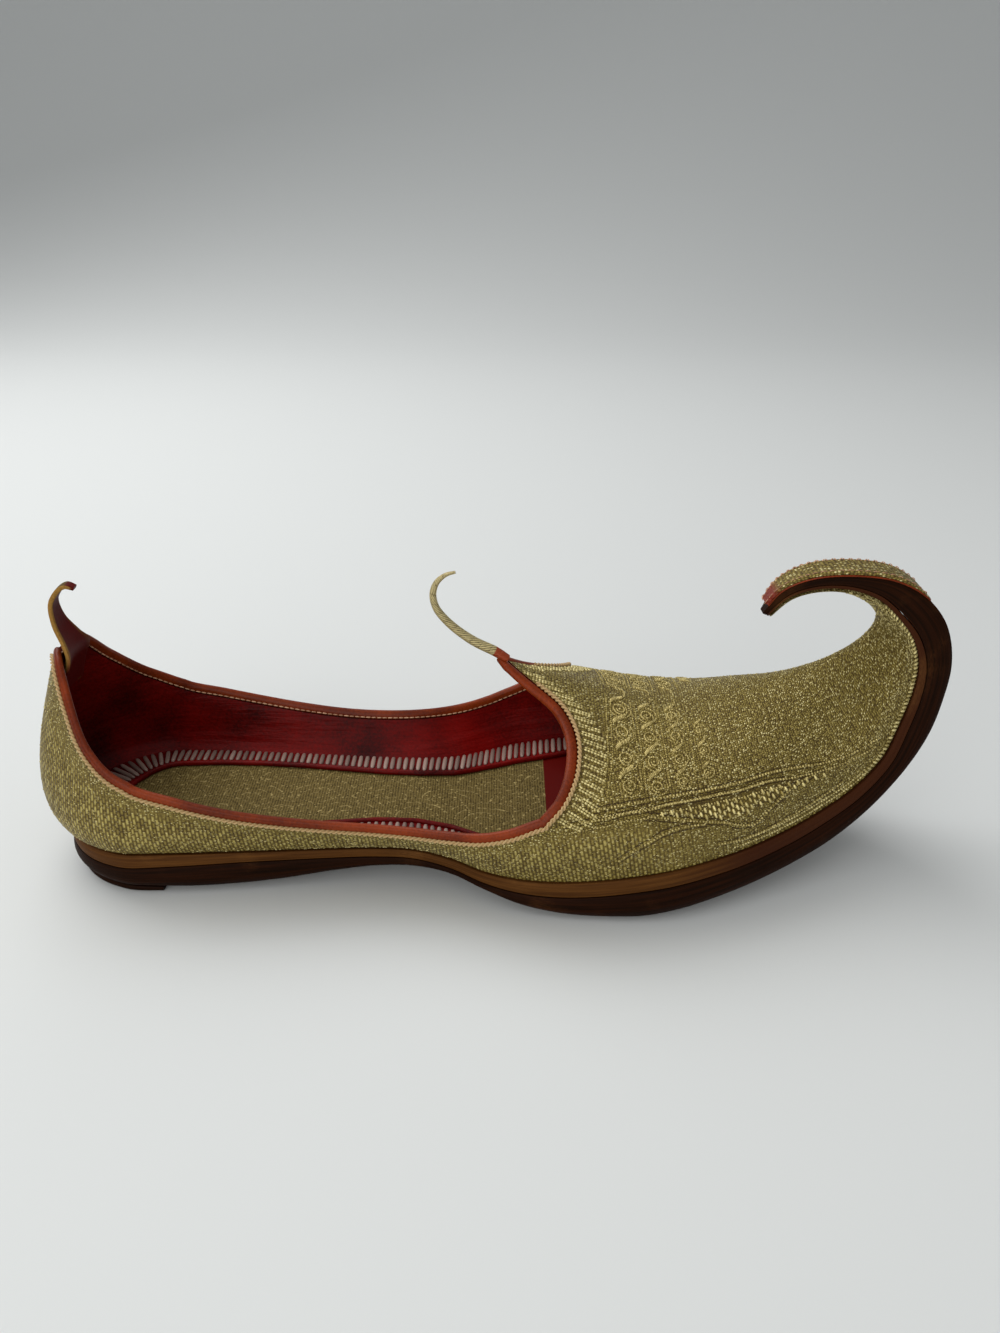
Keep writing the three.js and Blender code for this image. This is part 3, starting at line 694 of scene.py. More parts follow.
@dataclass
class Stitches:
    """Many small stitches: where each lies, which way it runs and how large it is, in metres."""

    centres: Array
    along: Array
    out: Array
    length: Array
    width: Array
    height: Array

    @staticmethod
    def of(centres: Array, along: Array, out: Array, size: Sequence[float]) -> "Stitches":
        """Stitches of one size.

        Args:
            centres: Where each lies.
            along: Which way it runs.
            out: Which way it stands out.
            size: Length, width and height in millimetres.

        Returns:
            The stitches.
        """
        count = len(centres)
        length, width, height = (np.full(count, part * MM) for part in size)
        return Stitches(centres, unit(along), unit(out), length, width, height)

    @staticmethod
    def gather(groups: Sequence["Stitches"]) -> "Stitches":
        """All the stitches of several groups as one."""
        names = [part.name for part in fields(Stitches)]
        return Stitches(*(np.concatenate([getattr(group, name) for group in groups]) for name in names))

    def both_sides(self) -> "Stitches":
        """The stitches and their mirror image."""
        ways = {name: mirrored(getattr(self, name)) for name in ("centres", "along", "out")}
        far = replace(self, **ways)
        return Stitches.gather([self, far])

    def sew(
        self, name: str, material: Material, slot: str, seed: int, segments: int = 6,
        rings: int = 4, blunt: float = 1.0,
    ) -> None:
        """Sews them all as one piece.

        Args:
            name: Name of the piece.
            material: Finish of the thread.
            slot: Not used.
            seed: Seed of the thread's tones.
            segments: Sides of one stitch.
            rings: Rings of one stitch.
            blunt: 1 for pointed round ends, smaller for squarer ones.
        """
        Bench.clear()
        bpy.ops.mesh.primitive_uv_sphere_add(segments=segments, ring_count=rings, radius=1)
        pattern = bpy.context.object
        grain = np.array([vertex.co for vertex in pattern.data.vertices])[:, [2, 1, 0]]
        grain = np.sign(grain) * np.abs(grain) ** blunt
        faces = [list(face.vertices) for face in pattern.data.polygons]
        bpy.data.objects.remove(pattern)
        across = unit(np.cross(self.out, self.along))
        points = (
            self.centres[:, None]
            + self.along[:, None] * (grain[None, :, :1] * self.length[:, None, None] / 2)
            + across[:, None] * (grain[None, :, 1:2] * self.width[:, None, None] / 2)
            + self.out[:, None] * (grain[None, :, 2:] * self.height[:, None, None])
        )
        count, size = len(self.centres), len(grain)
        polygons = [[corner + k * size for corner in face] for k in range(count) for face in faces]
        mesh = bpy.data.meshes.new(name)
        mesh.from_pydata(points.reshape(-1, 3).tolist(), [], polygons)
        tone = np.random.default_rng(seed).random(count)
        layer = mesh.attributes.new("tone", "FLOAT", "POINT")
        layer.data.foreach_set("value", np.repeat(tone, size).astype(np.float32))
        mesh.materials.append(material)
        piece = bpy.data.objects.new(name, mesh)
        bpy.context.scene.collection.objects.link(piece)
        Bench.join(name, [piece], weld=0.0)
        Bench.take(piece)
        bpy.ops.object.shade_smooth()
        Bench.clear()
        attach(piece, BODY)
        LOG.info("built %s", name)


Given = Union["Value", NodeSocket, Sequence[float], float]  # what can feed a socket


def added(operation: str, swap: bool = False) -> Callable[..., "Value"]:
    """A method of Value for one operation of the Math node.

    Args:
        operation: The node's operation.
        swap: Whether the value comes last, as in 1 - value.

    Returns:
        The method.
    """
    def method(value: "Value", *others: Given) -> "Value":
        """Adds the node to the value's tree."""
        return value.math(operation, *others, swap=swap)
    return method


class Value:
    """A number that varies over a surface. Plain arithmetic on it adds Math nodes."""

    def __init__(self, paint: "Paint", socket: NodeSocket) -> None:
        """Wraps an output socket of a paint's node tree."""
        self.paint = paint
        self.socket = socket

    def math(self, operation: str, *others: Given, swap: bool = False) -> "Value":
        """Adds one Math node that works on this value and others.

        Args:
            operation: The node's operation.
            others: Its other inputs.
            swap: Whether this value comes last.

        Returns:
            The node's result.
        """
        parts = [self, *others]
        if swap:
            parts.reverse()
        node = self.paint.node("ShaderNodeMath", {"operation": operation}, dict(enumerate(parts)))
        return Value(self.paint, node.outputs[0])

    __add__ = __radd__ = added("ADD")
    __sub__ = added("SUBTRACT")
    __rsub__ = added("SUBTRACT", swap=True)
    __mul__ = __rmul__ = added("MULTIPLY")
    __truediv__ = added("DIVIDE")
    __pow__ = added("POWER")
    floor = added("FLOOR")
    fraction = added("FRACT")
    size = added("ABSOLUTE")
    sine = added("SINE")
    least = added("MINIMUM")
    most = added("MAXIMUM")

    def within(self, first: float, last: float, soft: float) -> "Value":
        """1 from first to last, with a soft step beyond each."""
        return self.between(first - soft, first) * (1 - self.between(last, last + soft))

    def between(self, low: float, high: float) -> "Value":
        """A soft step.

        Args:
            low: Where the step starts.
            high: Where it ends.

        Returns:
            0 below the step, 1 above it.
        """
        node = self.paint.node(
            "ShaderNodeMapRange", {"interpolation_type": "SMOOTHSTEP"}, {0: self, 1: low, 2: high},
        )
        return Value(self.paint, node.outputs[0])


class Paint:
    """The node tree of one finish."""

    def __init__(self, name: str) -> None:
        """Starts a material with its shader."""
        self.material = bpy.data.materials.new(name)
        self.material.use_nodes = True
        self.tree = self.material.node_tree
        self.shader = self.tree.nodes["Principled BSDF"]

    def node(self, kind: str, settings: dict[str, object], sockets: dict[Union[str, int], Given]) -> Node:
        """Adds a node.

        Args:
            kind: Type of the node.
            settings: Its own settings, set first.
            sockets: Values or links of its inputs, by name or number.

        Returns:
            The node.
        """
        node = self.tree.nodes.new(kind)
        for name, setting in settings.items():
            setattr(node, name, setting)
        for name, given in sockets.items():
            self.feed(node.inputs[name], given)
        return node

    def feed(self, socket: NodeSocket, given: Given) -> None:
        """Links or sets one input.

        Args:
            socket: The input.
            given: A value, a socket, a colour or a number.
        """
        if isinstance(given, Value):
            self.tree.links.new(given.socket, socket)
        elif isinstance(given, NodeSocket):
            self.tree.links.new(given, socket)
        elif isinstance(given, (tuple, list)) and len(given) == 3 and socket.type == "RGBA":
            socket.default_value = (*given, 1)
        else:
            socket.default_value = given

    def surface(self) -> tuple[Value, Value]:
        """The piece's UV map, in millimetres along and across."""
        along, across = self.parts(self.node("ShaderNodeUVMap", {"uv_map": "UVMap"}, {}).outputs[0])
        return along / MM, across / MM

    def parts(self, vector: NodeSocket) -> tuple[Value, Value]:
        """The first two parts of a vector."""
        node = self.node("ShaderNodeSeparateXYZ", {}, {0: vector})
        return Value(self, node.outputs[0]), Value(self, node.outputs[1])

    def tone(self) -> Value:
        """The random tone of each stitch."""
        return Value(self, self.node("ShaderNodeAttribute", {"attribute_name": "tone"}, {}).outputs["Fac"])

    def marks(self) -> tuple[Value, Value]:
        """The two numbers that Bench.mark keeps on the points of a piece."""
        return self.parts(self.node("ShaderNodeAttribute", {"attribute_name": "place"}, {}).outputs["Vector"])

    def vector(self, x: Given, y: Given, z: Given = 0.0) -> NodeSocket:
        """A vector from three numbers."""
        return self.node("ShaderNodeCombineXYZ", {}, {0: x, 1: y, 2: z}).outputs[0]

    def object_place(self) -> NodeSocket:
        """The place of a point in the piece."""
        return self.node("ShaderNodeTexCoord", {}, {}).outputs["Object"]

    def noise(self, vector: Given, scale: float, detail: float = 2.0) -> Value:
        """Soft noise from 0 to 1."""
        node = self.node("ShaderNodeTexNoise", {}, {"Vector": vector, "Scale": scale, "Detail": detail})
        return Value(self, node.outputs[0])

    def cells(self, vector: Given, spread: float = 1.0) -> tuple[Value, Value]:
        """Irregular cells one unit wide.

        Args:
            vector: Places.
            spread: 0 for a plain grid, 1 for cells that lie at random.

        Returns:
            The distance from a cell's middle, and a random number for each cell.
        """
        node = self.node(
            "ShaderNodeTexVoronoi", {"voronoi_dimensions": "2D"},
            {"Vector": vector, "Scale": 1.0, "Randomness": spread},
        )
        return Value(self, node.outputs["Distance"]), self.parts(node.outputs["Color"])[0]

    def chance(self, x: Given, y: Given) -> Value:
        """A random number for each pair of whole numbers."""
        node = self.node("ShaderNodeTexWhiteNoise", {"noise_dimensions": "2D"}, {"Vector": self.vector(x, y)})
        return Value(self, node.outputs["Value"])

    def blend(self, share: Given, low: Given, high: Given) -> NodeSocket:
        """A colour between two colours."""
        node = self.node("ShaderNodeMix", {"data_type": "RGBA"}, {0: share, 6: low, 7: high})
        return node.outputs[2]

    def choose(self, share: Value, low: Value, high: Value) -> Value:
        """A number between two numbers."""
        return low + (high - low) * share

    def line(self, at: Value, rows: Sequence[Sequence[float]], swapped: bool = False) -> Value:
        """The height on the wall of a line of the pattern, for each row of the last.

        Args:
            at: Rows of the last, or heights where swapped.
            rows: Row and height of the line's points.
            swapped: Whether the line is read as a row for each height.

        Returns:
            The height, or the row where swapped.
        """
        spans = (2.0, LAST) if swapped else (LAST, 2.0)
        node = self.node("ShaderNodeFloatCurve", {}, {"Value": at / spans[0]})
        curve = node.mapping.curves[0]
        points = [(b, a) if swapped else (a, b) for a, b in rows]
        places = [(a / spans[0], b / spans[1]) for a, b in points]
        curve.points[0].location, curve.points[1].location = places[0], places[-1]
        for place in places[1:-1]:
            curve.points.new(*place)
        node.mapping.update()
        return Value(self, node.outputs[0]) * spans[1]

    def relief(self, height: Value, depth: float, strength: float = 1.0) -> None:
        """Raises the surface.

        Args:
            height: Height, 0 to 1.
            depth: What 1 stands for, in millimetres.
            strength: Share of the effect.
        """
        sockets = {"Strength": strength, "Distance": depth * MM, "Height": height}
        node = self.node("ShaderNodeBump", {}, sockets)
        self.feed(self.shader.inputs["Normal"], node.outputs[0])

    def set(self, **inputs: Given) -> None:
        """Sets or links inputs of the shader, by their names in lower case."""
        for name, given in inputs.items():
            title = " ".join(word.capitalize() if word != "ior" else "IOR" for word in name.split("_"))
            self.feed(self.shader.inputs[title], given)


@dataclass(frozen=True)
class Brocade:
    """Gold brocade: fine metal grains over the vamp, upright bricks of yarn low on the sides."""

    # shadow and bright are painted shade in the cloth's low places and painted highlight on its raised
    # grains; ground lies between them
    shadow: tuple = srgb(66, 48, 12)
    ground: tuple = srgb(121, 103, 41)
    bright: tuple = srgb(180, 163, 90)
    # a painted highlight that some grains get, whatever the lamps
    painted_glint: tuple = srgb(244, 233, 176)
    # share of painted shade over the cloth inside the toe's curl
    painted_curl_shade: float = 0.35
    red: tuple = srgb(124, 38, 12)
    yarn_width: float = 1.2
    yarn_height: float = 2.4
    grain: float = 0.7
    scatter: float = 0.6
    groove_offset: float = 0.022
    groove_edge: tuple[float, float] = (0.001, 0.007)
    satin_rows: tuple[float, ...] = (17.6, 18.2, 22.2, 22.8)  # over which the satin's shade comes and goes
    rib_heights: tuple[float, ...] = (1.04, 1.1, 1.6, 1.75)
    rib_shade: float = 0.55
    brick_top: tuple[float, float] = (0.7, 0.98)  # heights and rows over which the bricks give way to grains
    brick_end: tuple[float, float] = (16.5, 20.0)
    # rows of the toe's curl over which the painted shade comes in
    painted_curl_shade_rows: tuple[float, float] = (24.5, 28.5)
    metal: float = 0.3
    # grains with these tones and heights get the painted glint
    spark_tones: tuple[float, float] = (0.82, 0.9)  # tones and heights of the grains that sparkle
    spark_heights: tuple[float, float] = (0.45, 0.85)
    ground_range: tuple[float, float] = (0.08, 0.6)  # lightness from the shadow to the ground
    bright_range: tuple[float, float] = (0.55, 0.95)

    def bricks(self, paint: Paint, along: Value, up: Value) -> tuple[Value, Value]:
        """The side weave.

        Args:
            paint: The finish that it is part of.
            along: Length along the cloth.
            up: Height on the cloth.

        Returns:
            Its height, and a random number for each yarn.
        """
        wobble = (paint.noise(paint.vector(along * 0.12, up * 0.12), 1.0) - 0.5) * 0.7
        column = (along + wobble) / self.yarn_width
        shift = (column.floor() * 0.5).fraction()
        row = up / self.yarn_height + shift
        across = (column.fraction() * 2 - 1).size()
        length = (row.fraction() * 2 - 1).size()
        height = (1 - across ** 1.9) * (1 - length ** 3.5)
        return height, paint.chance(column.floor(), row.floor())

    def pattern(self, paint: Paint, row: Value, high: Value) -> tuple[Value, Value]:
        """The cloth under the relief.

        Args:
            paint: The finish that it is part of.
            row: Row of the last.
            high: Height on the wall.

        Returns:
            Where it lies in the stitches' shade, and the grooves beside the lines.
        """
        main, low = paint.line(row, MAIN_BAND), paint.line(row, SATIN_FOOT)
        inside = (main - high).between(0.0, 0.02) * (high - low).between(-0.02, 0.02)
        shade = inside * row.between(*self.satin_rows[:2]) * (1 - row.between(*self.satin_rows[2:]))
        groove = shade * 0
        for points, spread, _ in PATTERN_LINES:
            away = ((high - paint.line(row, points)).size() / spread - self.groove_offset).size()
            reach = row.within(points[0][0], points[-1][0], 0.1)
            groove = groove.most((1 - away.between(*self.groove_edge)) * reach)
        ribs = (paint.line(high, RIB_END, swapped=True) - row).between(0.0, 0.08)
        ribs = ribs * high.between(*self.rib_heights[:2]) * (1 - high.between(*self.rib_heights[2:]))
        return shade.most(ribs * self.rib_shade), groove

    def grains(self, paint: Paint, along: Value, up: Value) -> tuple[Value, Value]:
        """The vamp's grains.

        Args:
            paint: The finish that they are part of.
            along: Length along the cloth.
            up: Height on the cloth.

        Returns:
            Their height, and a random number for each.
        """
        place = paint.vector(along / (self.grain * 1.25), up / (self.grain * 0.85))
        distance, tone = paint.cells(place, self.scatter)
        return 1 - distance.between(0.05, 0.75), tone

    def material(self, name: str, sides: bool = True, red_from: float = 0.0) -> Material:
        """The finished material.

        Args:
            name: Name of the material.
            sides: Whether the low sides are woven in bricks.
            red_from: Length in millimetres from where the cloth gives way to red leather, 0 for none.

        Returns:
            The material.
        """
        paint = Paint(name)
        along, up = paint.surface()
        height, tone = self.grains(paint, along, up)
        # Painted highlight: some grains take the glint colour, fewer of them on the side bricks.
        painted_sparkle = tone.between(*self.spark_tones) * height.between(*self.spark_heights)
        if sides:
            row, high = paint.marks()
            side = (1 - high.between(*self.brick_top)) * (1 - row.between(*self.brick_end))
            brick_height, brick_tone = self.bricks(paint, along, up)
            height = paint.choose(side, height, brick_height)
            tone = paint.choose(side, tone, brick_tone)
            painted_sparkle = painted_sparkle * (1 - side * 0.75)
            shade, groove = self.pattern(paint, row, high)
            # The stitches' shade and the grooves beside the lines darken the cloth as painted shade, and also
            # lower its relief.
            height = height * (1 - shade * 0.6) - groove * 0.7
        patch = paint.noise(paint.vector(along * 0.05, up * 0.09), 1.0, 3.0)
        thread = (up * (2 * math.pi / 0.5)).sine() * 0.5 + 0.5
        # Lightness comes partly from each grain's random tone and partly from its height, as painted light:
        # raised grains and yarns get a painted highlight, low places a painted shade.
        light = height * 0.6 + tone * 0.3 + patch * 0.14
        body = paint.blend(light.between(*self.ground_range), self.shadow, self.ground)
        raised = paint.blend(light.between(*self.bright_range), body, self.bright)
        colour = paint.blend(painted_sparkle * 0.75, raised, self.painted_glint)
        if sides:
            # Painted shade inside the toe's curl: the cloth darkens towards the shadow colour there.
            colour = paint.blend(row.between(*self.painted_curl_shade_rows) * self.painted_curl_shade, colour, self.shadow)
        metal = self.metal
        if red_from:
            leather = along.between(red_from, red_from + 4)
            colour = paint.blend(leather, colour, self.red)
            metal = self.metal - leather * self.metal
        paint.set(base_color=colour, metallic=metal, roughness=0.6 - tone * 0.2, specular_ior_level=0.4)
        paint.relief(height * 0.85 + thread * 0.1 + tone * 0.15, 0.4, 0.85)
        return paint.material


@dataclass(frozen=True)
class WoundThread:
    """Wound thread, of metal or plain."""

    dark: tuple
    light: tuple
    metallic: float = 0.45
    roughness: float = 0.42

    def material(self, name: str) -> Material:
        """Mixes the finish.

        Args:
            name: Name of the material.

        Returns:
            The finished material.
        """
        paint = Paint(name)
        grain = paint.noise(paint.object_place(), 2500.0, 1.0)
        colour = paint.blend(paint.tone() * 0.75 + grain * 0.25, self.dark, self.light)
        paint.set(base_color=colour, metallic=self.metallic, roughness=self.roughness)
        paint.relief(grain, 0.08, 0.6)
        return paint.material


@dataclass(frozen=True)
class Leather:
    """Leather with a fine grain, tone that changes softly, and some gloss."""

    deep: tuple
    light: tuple
    grain: float = 0.55
    depth: float = 0.05
    roughness: float = 0.4
    gloss: float = 0.2
    wrinkle: float = 0.0

    def material(self, name: str) -> Material:
        """Mixes the finish.

        Args:
            name: Name of the material.

        Returns:
            The finished material.
        """
        paint = Paint(name)
        place = paint.object_place()
        patch = paint.noise(place, 45.0, 4.0)
        fine = paint.noise(place, 1000.0 / self.grain, 3.0)
        share = (patch * 0.75 + fine * 0.35).between(0.3, 0.8)
        paint.set(
            base_color=paint.blend(share, self.deep, self.light),
            roughness=self.roughness + (fine - 0.5) * 0.15,
            specular_ior_level=self.gloss,
        )
        height = fine * self.depth
        if self.wrinkle:
            along, up = paint.surface()
            height = height + paint.noise(paint.vector(along * 0.03, up * 0.22), 1.0, 4.0) * self.wrinkle
        paint.relief(height, 1.0, 0.9)
        return paint.material


@dataclass(frozen=True)
class SoleLeather:
    """Stacked sole leather, streaked along its edge, with the dark dye worn where it rubs."""

    dark: tuple = srgb(18, 7, 2)
    brown: tuple = srgb(46, 20, 6)
    worn: tuple = srgb(112, 68, 32)
    streak: float = 30.0
    wear: float = 0.3
    roughness: float = 0.5
    # Painted shade: the colour that the leather darkens to towards the toe's curl, from toe_from on.
    toe: tuple = srgb(58, 27, 14)
    toe_from: float = 0.0

    def material(self, name: str) -> Material:
        """Mixes the finish.

        Args:
            name: Name of the material.

        Returns:
            The finished material.
        """
        paint = Paint(name)
        along, around = paint.surface()
        streaks = paint.noise(paint.vector(along / self.streak, around * 1.3), 1.0, 4.0)
        fibres = paint.noise(paint.vector(along * 0.6, around * 5.0), 1.0, 2.0)
        patches = paint.noise(paint.object_place(), 60.0, 3.0)
        body = paint.blend(streaks.between(0.2, 0.9), self.dark, self.brown)
        if self.toe_from:
            # Painted shade, darker towards the toe's curl.
            body = paint.blend(along.between(self.toe_from, self.toe_from + 35) * 0.85, body, self.toe)
        rubbed = patches.between(0.56, 0.8) * fibres.between(0.3, 0.7) * self.wear
        paint.set(
            base_color=paint.blend(rubbed, body, self.worn),
            roughness=self.roughness + (fibres - 0.5) * 0.2,
            specular_ior_level=0.04,
        )
        paint.relief(fibres * 0.5 + streaks * 0.4 + patches * 1.2, 0.3, 0.6)
        return paint.material


@dataclass(frozen=True)
class Quilting:
    """The insole's brocade, quilted in waves."""

    shadow: tuple = srgb(62, 50, 24)
    ground: tuple = srgb(114, 98, 56)
    thread: tuple = srgb(184, 164, 108)
    red: tuple = srgb(86, 8, 4)
    fan: float = 23.0
    row: float = 10.5
    rib: float = 3.4
    oval: float = 1.7  # above 1, the fans are wider than they are deep
    wander: float = 5.0  # how far the rows of quilting stray, in millimetres

    def material(self, name: str, panel: float) -> Material:
        """The finished material.

        Args:
            name: Name of the material.
            panel: Where the red leather starts towards the toe, in metres.

        Returns:
            The material.
        """
        paint = Paint(name)
        x, y = paint.parts(paint.object_place())
        x, y = x / MM, y / MM
        wobble = (paint.noise(paint.vector(x * 0.06, y * 0.06), 1.0) - 0.5) * self.wander
        level = (y + wobble) / self.row
        across = ((x + wobble) / self.fan + level.floor() * 0.5).fraction() * self.fan - self.fan / 2
        deep = level.fraction() * self.row
        reach = (across * across + deep * deep * self.oval) ** 0.5
        line = ((reach / self.rib).fraction() * 2 - 1).size().between(0.7, 0.97)
        hatch = (x * (2 * math.pi / 0.9) + paint.noise(paint.vector(x, y), 0.4) * 5).sine() * 0.5 + 0.5
        distance, tone = paint.cells(paint.vector(x / 0.65, y / 0.65), 0.9)
        light = hatch * 0.36 + tone * 0.25 + (1 - distance) * 0.2 + 0.1 - line * 0.15
        cloth = paint.blend(light.between(0.1, 0.75), self.shadow, self.ground)
        dotted = line * tone.between(0.3, 0.8) * 0.65 + tone.between(0.965, 0.98) * 0.6
        quilted = paint.blend(dotted.least(1.0) * 0.75, cloth, self.thread)
        ahead = x.between(panel / MM, panel / MM + 0.3)
        paint.set(
            base_color=paint.blend(ahead, quilted, self.red),
            roughness=0.65 - ahead * 0.2,
            specular_ior_level=0.06,
        )
        paint.relief((line * -0.7 + hatch * 0.2 + tone * 0.25) * (1 - ahead), 0.3, 0.7)
        return paint.material


@dataclass(frozen=True)
class Rolled:
    """Brocade rolled tight round a core, its edge winding round it, with a dark end."""

    shadow: tuple = srgb(82, 66, 34)
    gold: tuple = srgb(206, 190, 136)
    tip: tuple = srgb(76, 48, 26)
    red: tuple = srgb(150, 58, 20)
    turn: float = 3.4
    red_to: float = 5.0
    dark_from: float = 49.0

    def material(self, name: str) -> Material:
        """Mixes the finish.

        Args:
            name: Name of the material.

        Returns:
            The finished material.
        """
        paint = Paint(name)
        along, around = paint.surface()
        spiral = ((along / self.turn + around / 9.0).fraction() * 2 - 1).size()
        edge = 1 - spiral.between(0.0, 0.12)
        thread = ((along * 1.4 + around * 3.0) * math.pi).sine() * 0.5 + 0.5
        fine = paint.noise(paint.object_place(), 1800.0, 2.0)
        light = (thread * 0.5 + fine * 0.6 - edge * 0.25).between(0.1, 0.8)
        cloth = paint.blend(light, self.shadow, self.gold)
        end = along.between(self.dark_from, self.dark_from + 3)
        root = 1 - along.between(self.red_to, self.red_to + 0.4)
        colour = paint.blend(end, paint.blend(root, cloth, self.red), self.tip)
        paint.set(base_color=colour, metallic=0.25, roughness=0.36)
        paint.relief(thread * 0.5 + fine * 0.3 - edge, 0.14, 0.8)
        return paint.material


@dataclass(frozen=True)
class TabLeather:
    """The heel tab: brocade behind, red leather in front, raw tan edges."""

    brocade: tuple = srgb(92, 74, 34)
    red: tuple = srgb(84, 10, 6)
    edge: tuple = srgb(150, 112, 54)
    grime: tuple = srgb(30, 14, 8)

    def material(self, name: str) -> Material:
        """Mixes the finish.

        Args:
            name: Name of the material.

        Returns:
            The finished material.
        """
        paint = Paint(name)
        front, raw = paint.marks()
        fine = paint.noise(paint.object_place(), 1400.0, 3.0)
        clean = paint.blend(raw, paint.blend(front, self.brocade, self.red), self.edge)
        colour = paint.blend(fine.between(0.35, 0.8) * 0.35, clean, self.grime)
        paint.set(base_color=colour, roughness=0.5, specular_ior_level=0.05)
        paint.relief(fine, 0.12, 0.7)
        return paint.material


class Thread(Enum):
    """The threads of the shoe: dark and light tone, metal and roughness."""

    GOLD_THREAD = WoundThread(srgb(120, 102, 46), srgb(208, 190, 118))
    # A lighter copy of the gold thread, as painted highlight on the beads sewn with it: the ribs, the toe's
    # hem and the loose grains.
    LIT_GOLD_THREAD = WoundThread(srgb(138, 120, 58), srgb(238, 224, 160), 0.4, 0.38)
    GOLD_WIRE = WoundThread(srgb(130, 112, 52), srgb(224, 206, 138))
    SATIN_THREAD = WoundThread(srgb(148, 128, 58), srgb(250, 234, 164), 0.4, 0.3)
    THREAD_CREAM = WoundThread(srgb(168, 134, 82), srgb(244, 226, 184), 0.0, 0.6)
    THREAD_GREY = WoundThread(srgb(98, 76, 68), srgb(160, 136, 124), 0.0, 0.6)
    THREAD_ROSE = WoundThread(srgb(150, 104, 74), srgb(206, 162, 128), 0.0, 0.6)

    def material(self) -> Material:
        """The finished material, named after the thread."""
        return self.value.material(self.name.lower())


class Bead(Enum):
    """The kinds of small stitches, in millimetres: length, width, height, pitch and lift off the wall."""

    RIB = (1.1, 0.85, 0.38, 1.05, 0.0)
    BORDER = (0.75, 0.5, 0.26, 0.9, 0.05)
    RING = (0.8, 0.58, 0.42, 0.72, 0.05)
    ECHO = (0.75, 0.45, 0.3, 0.8, 0.03)
    DOT = (0.8, 0.8, 0.4, 0.5, 0.08)
    STEM = (0.8, 0.5, 0.34, 0.72, 0.04)
    LEAF = (2.0, 0.55, 0.5, 0.58, 0.06)
    BAND = (0.72, 0.82, 0.42, 1.05, 0.06)
    BESIDE = (0.6, 0.6, 0.32, 1.05, 0.04)
    WHIP = (2.0, 0.95, 0.6, 1.35, 0.15)
    HEM = (0.85, 0.7, 0.4, 1.0, 0.05)
    SEAM = (1.9, 0.55, 0.22, 2.0, 0.0)

    def __init__(self, length: float, width: float, height: float, pitch: float, lift: float) -> None:
        """Names the columns."""
        self.size = (length, width, height)
        self.pitch = pitch
        self.lift = lift


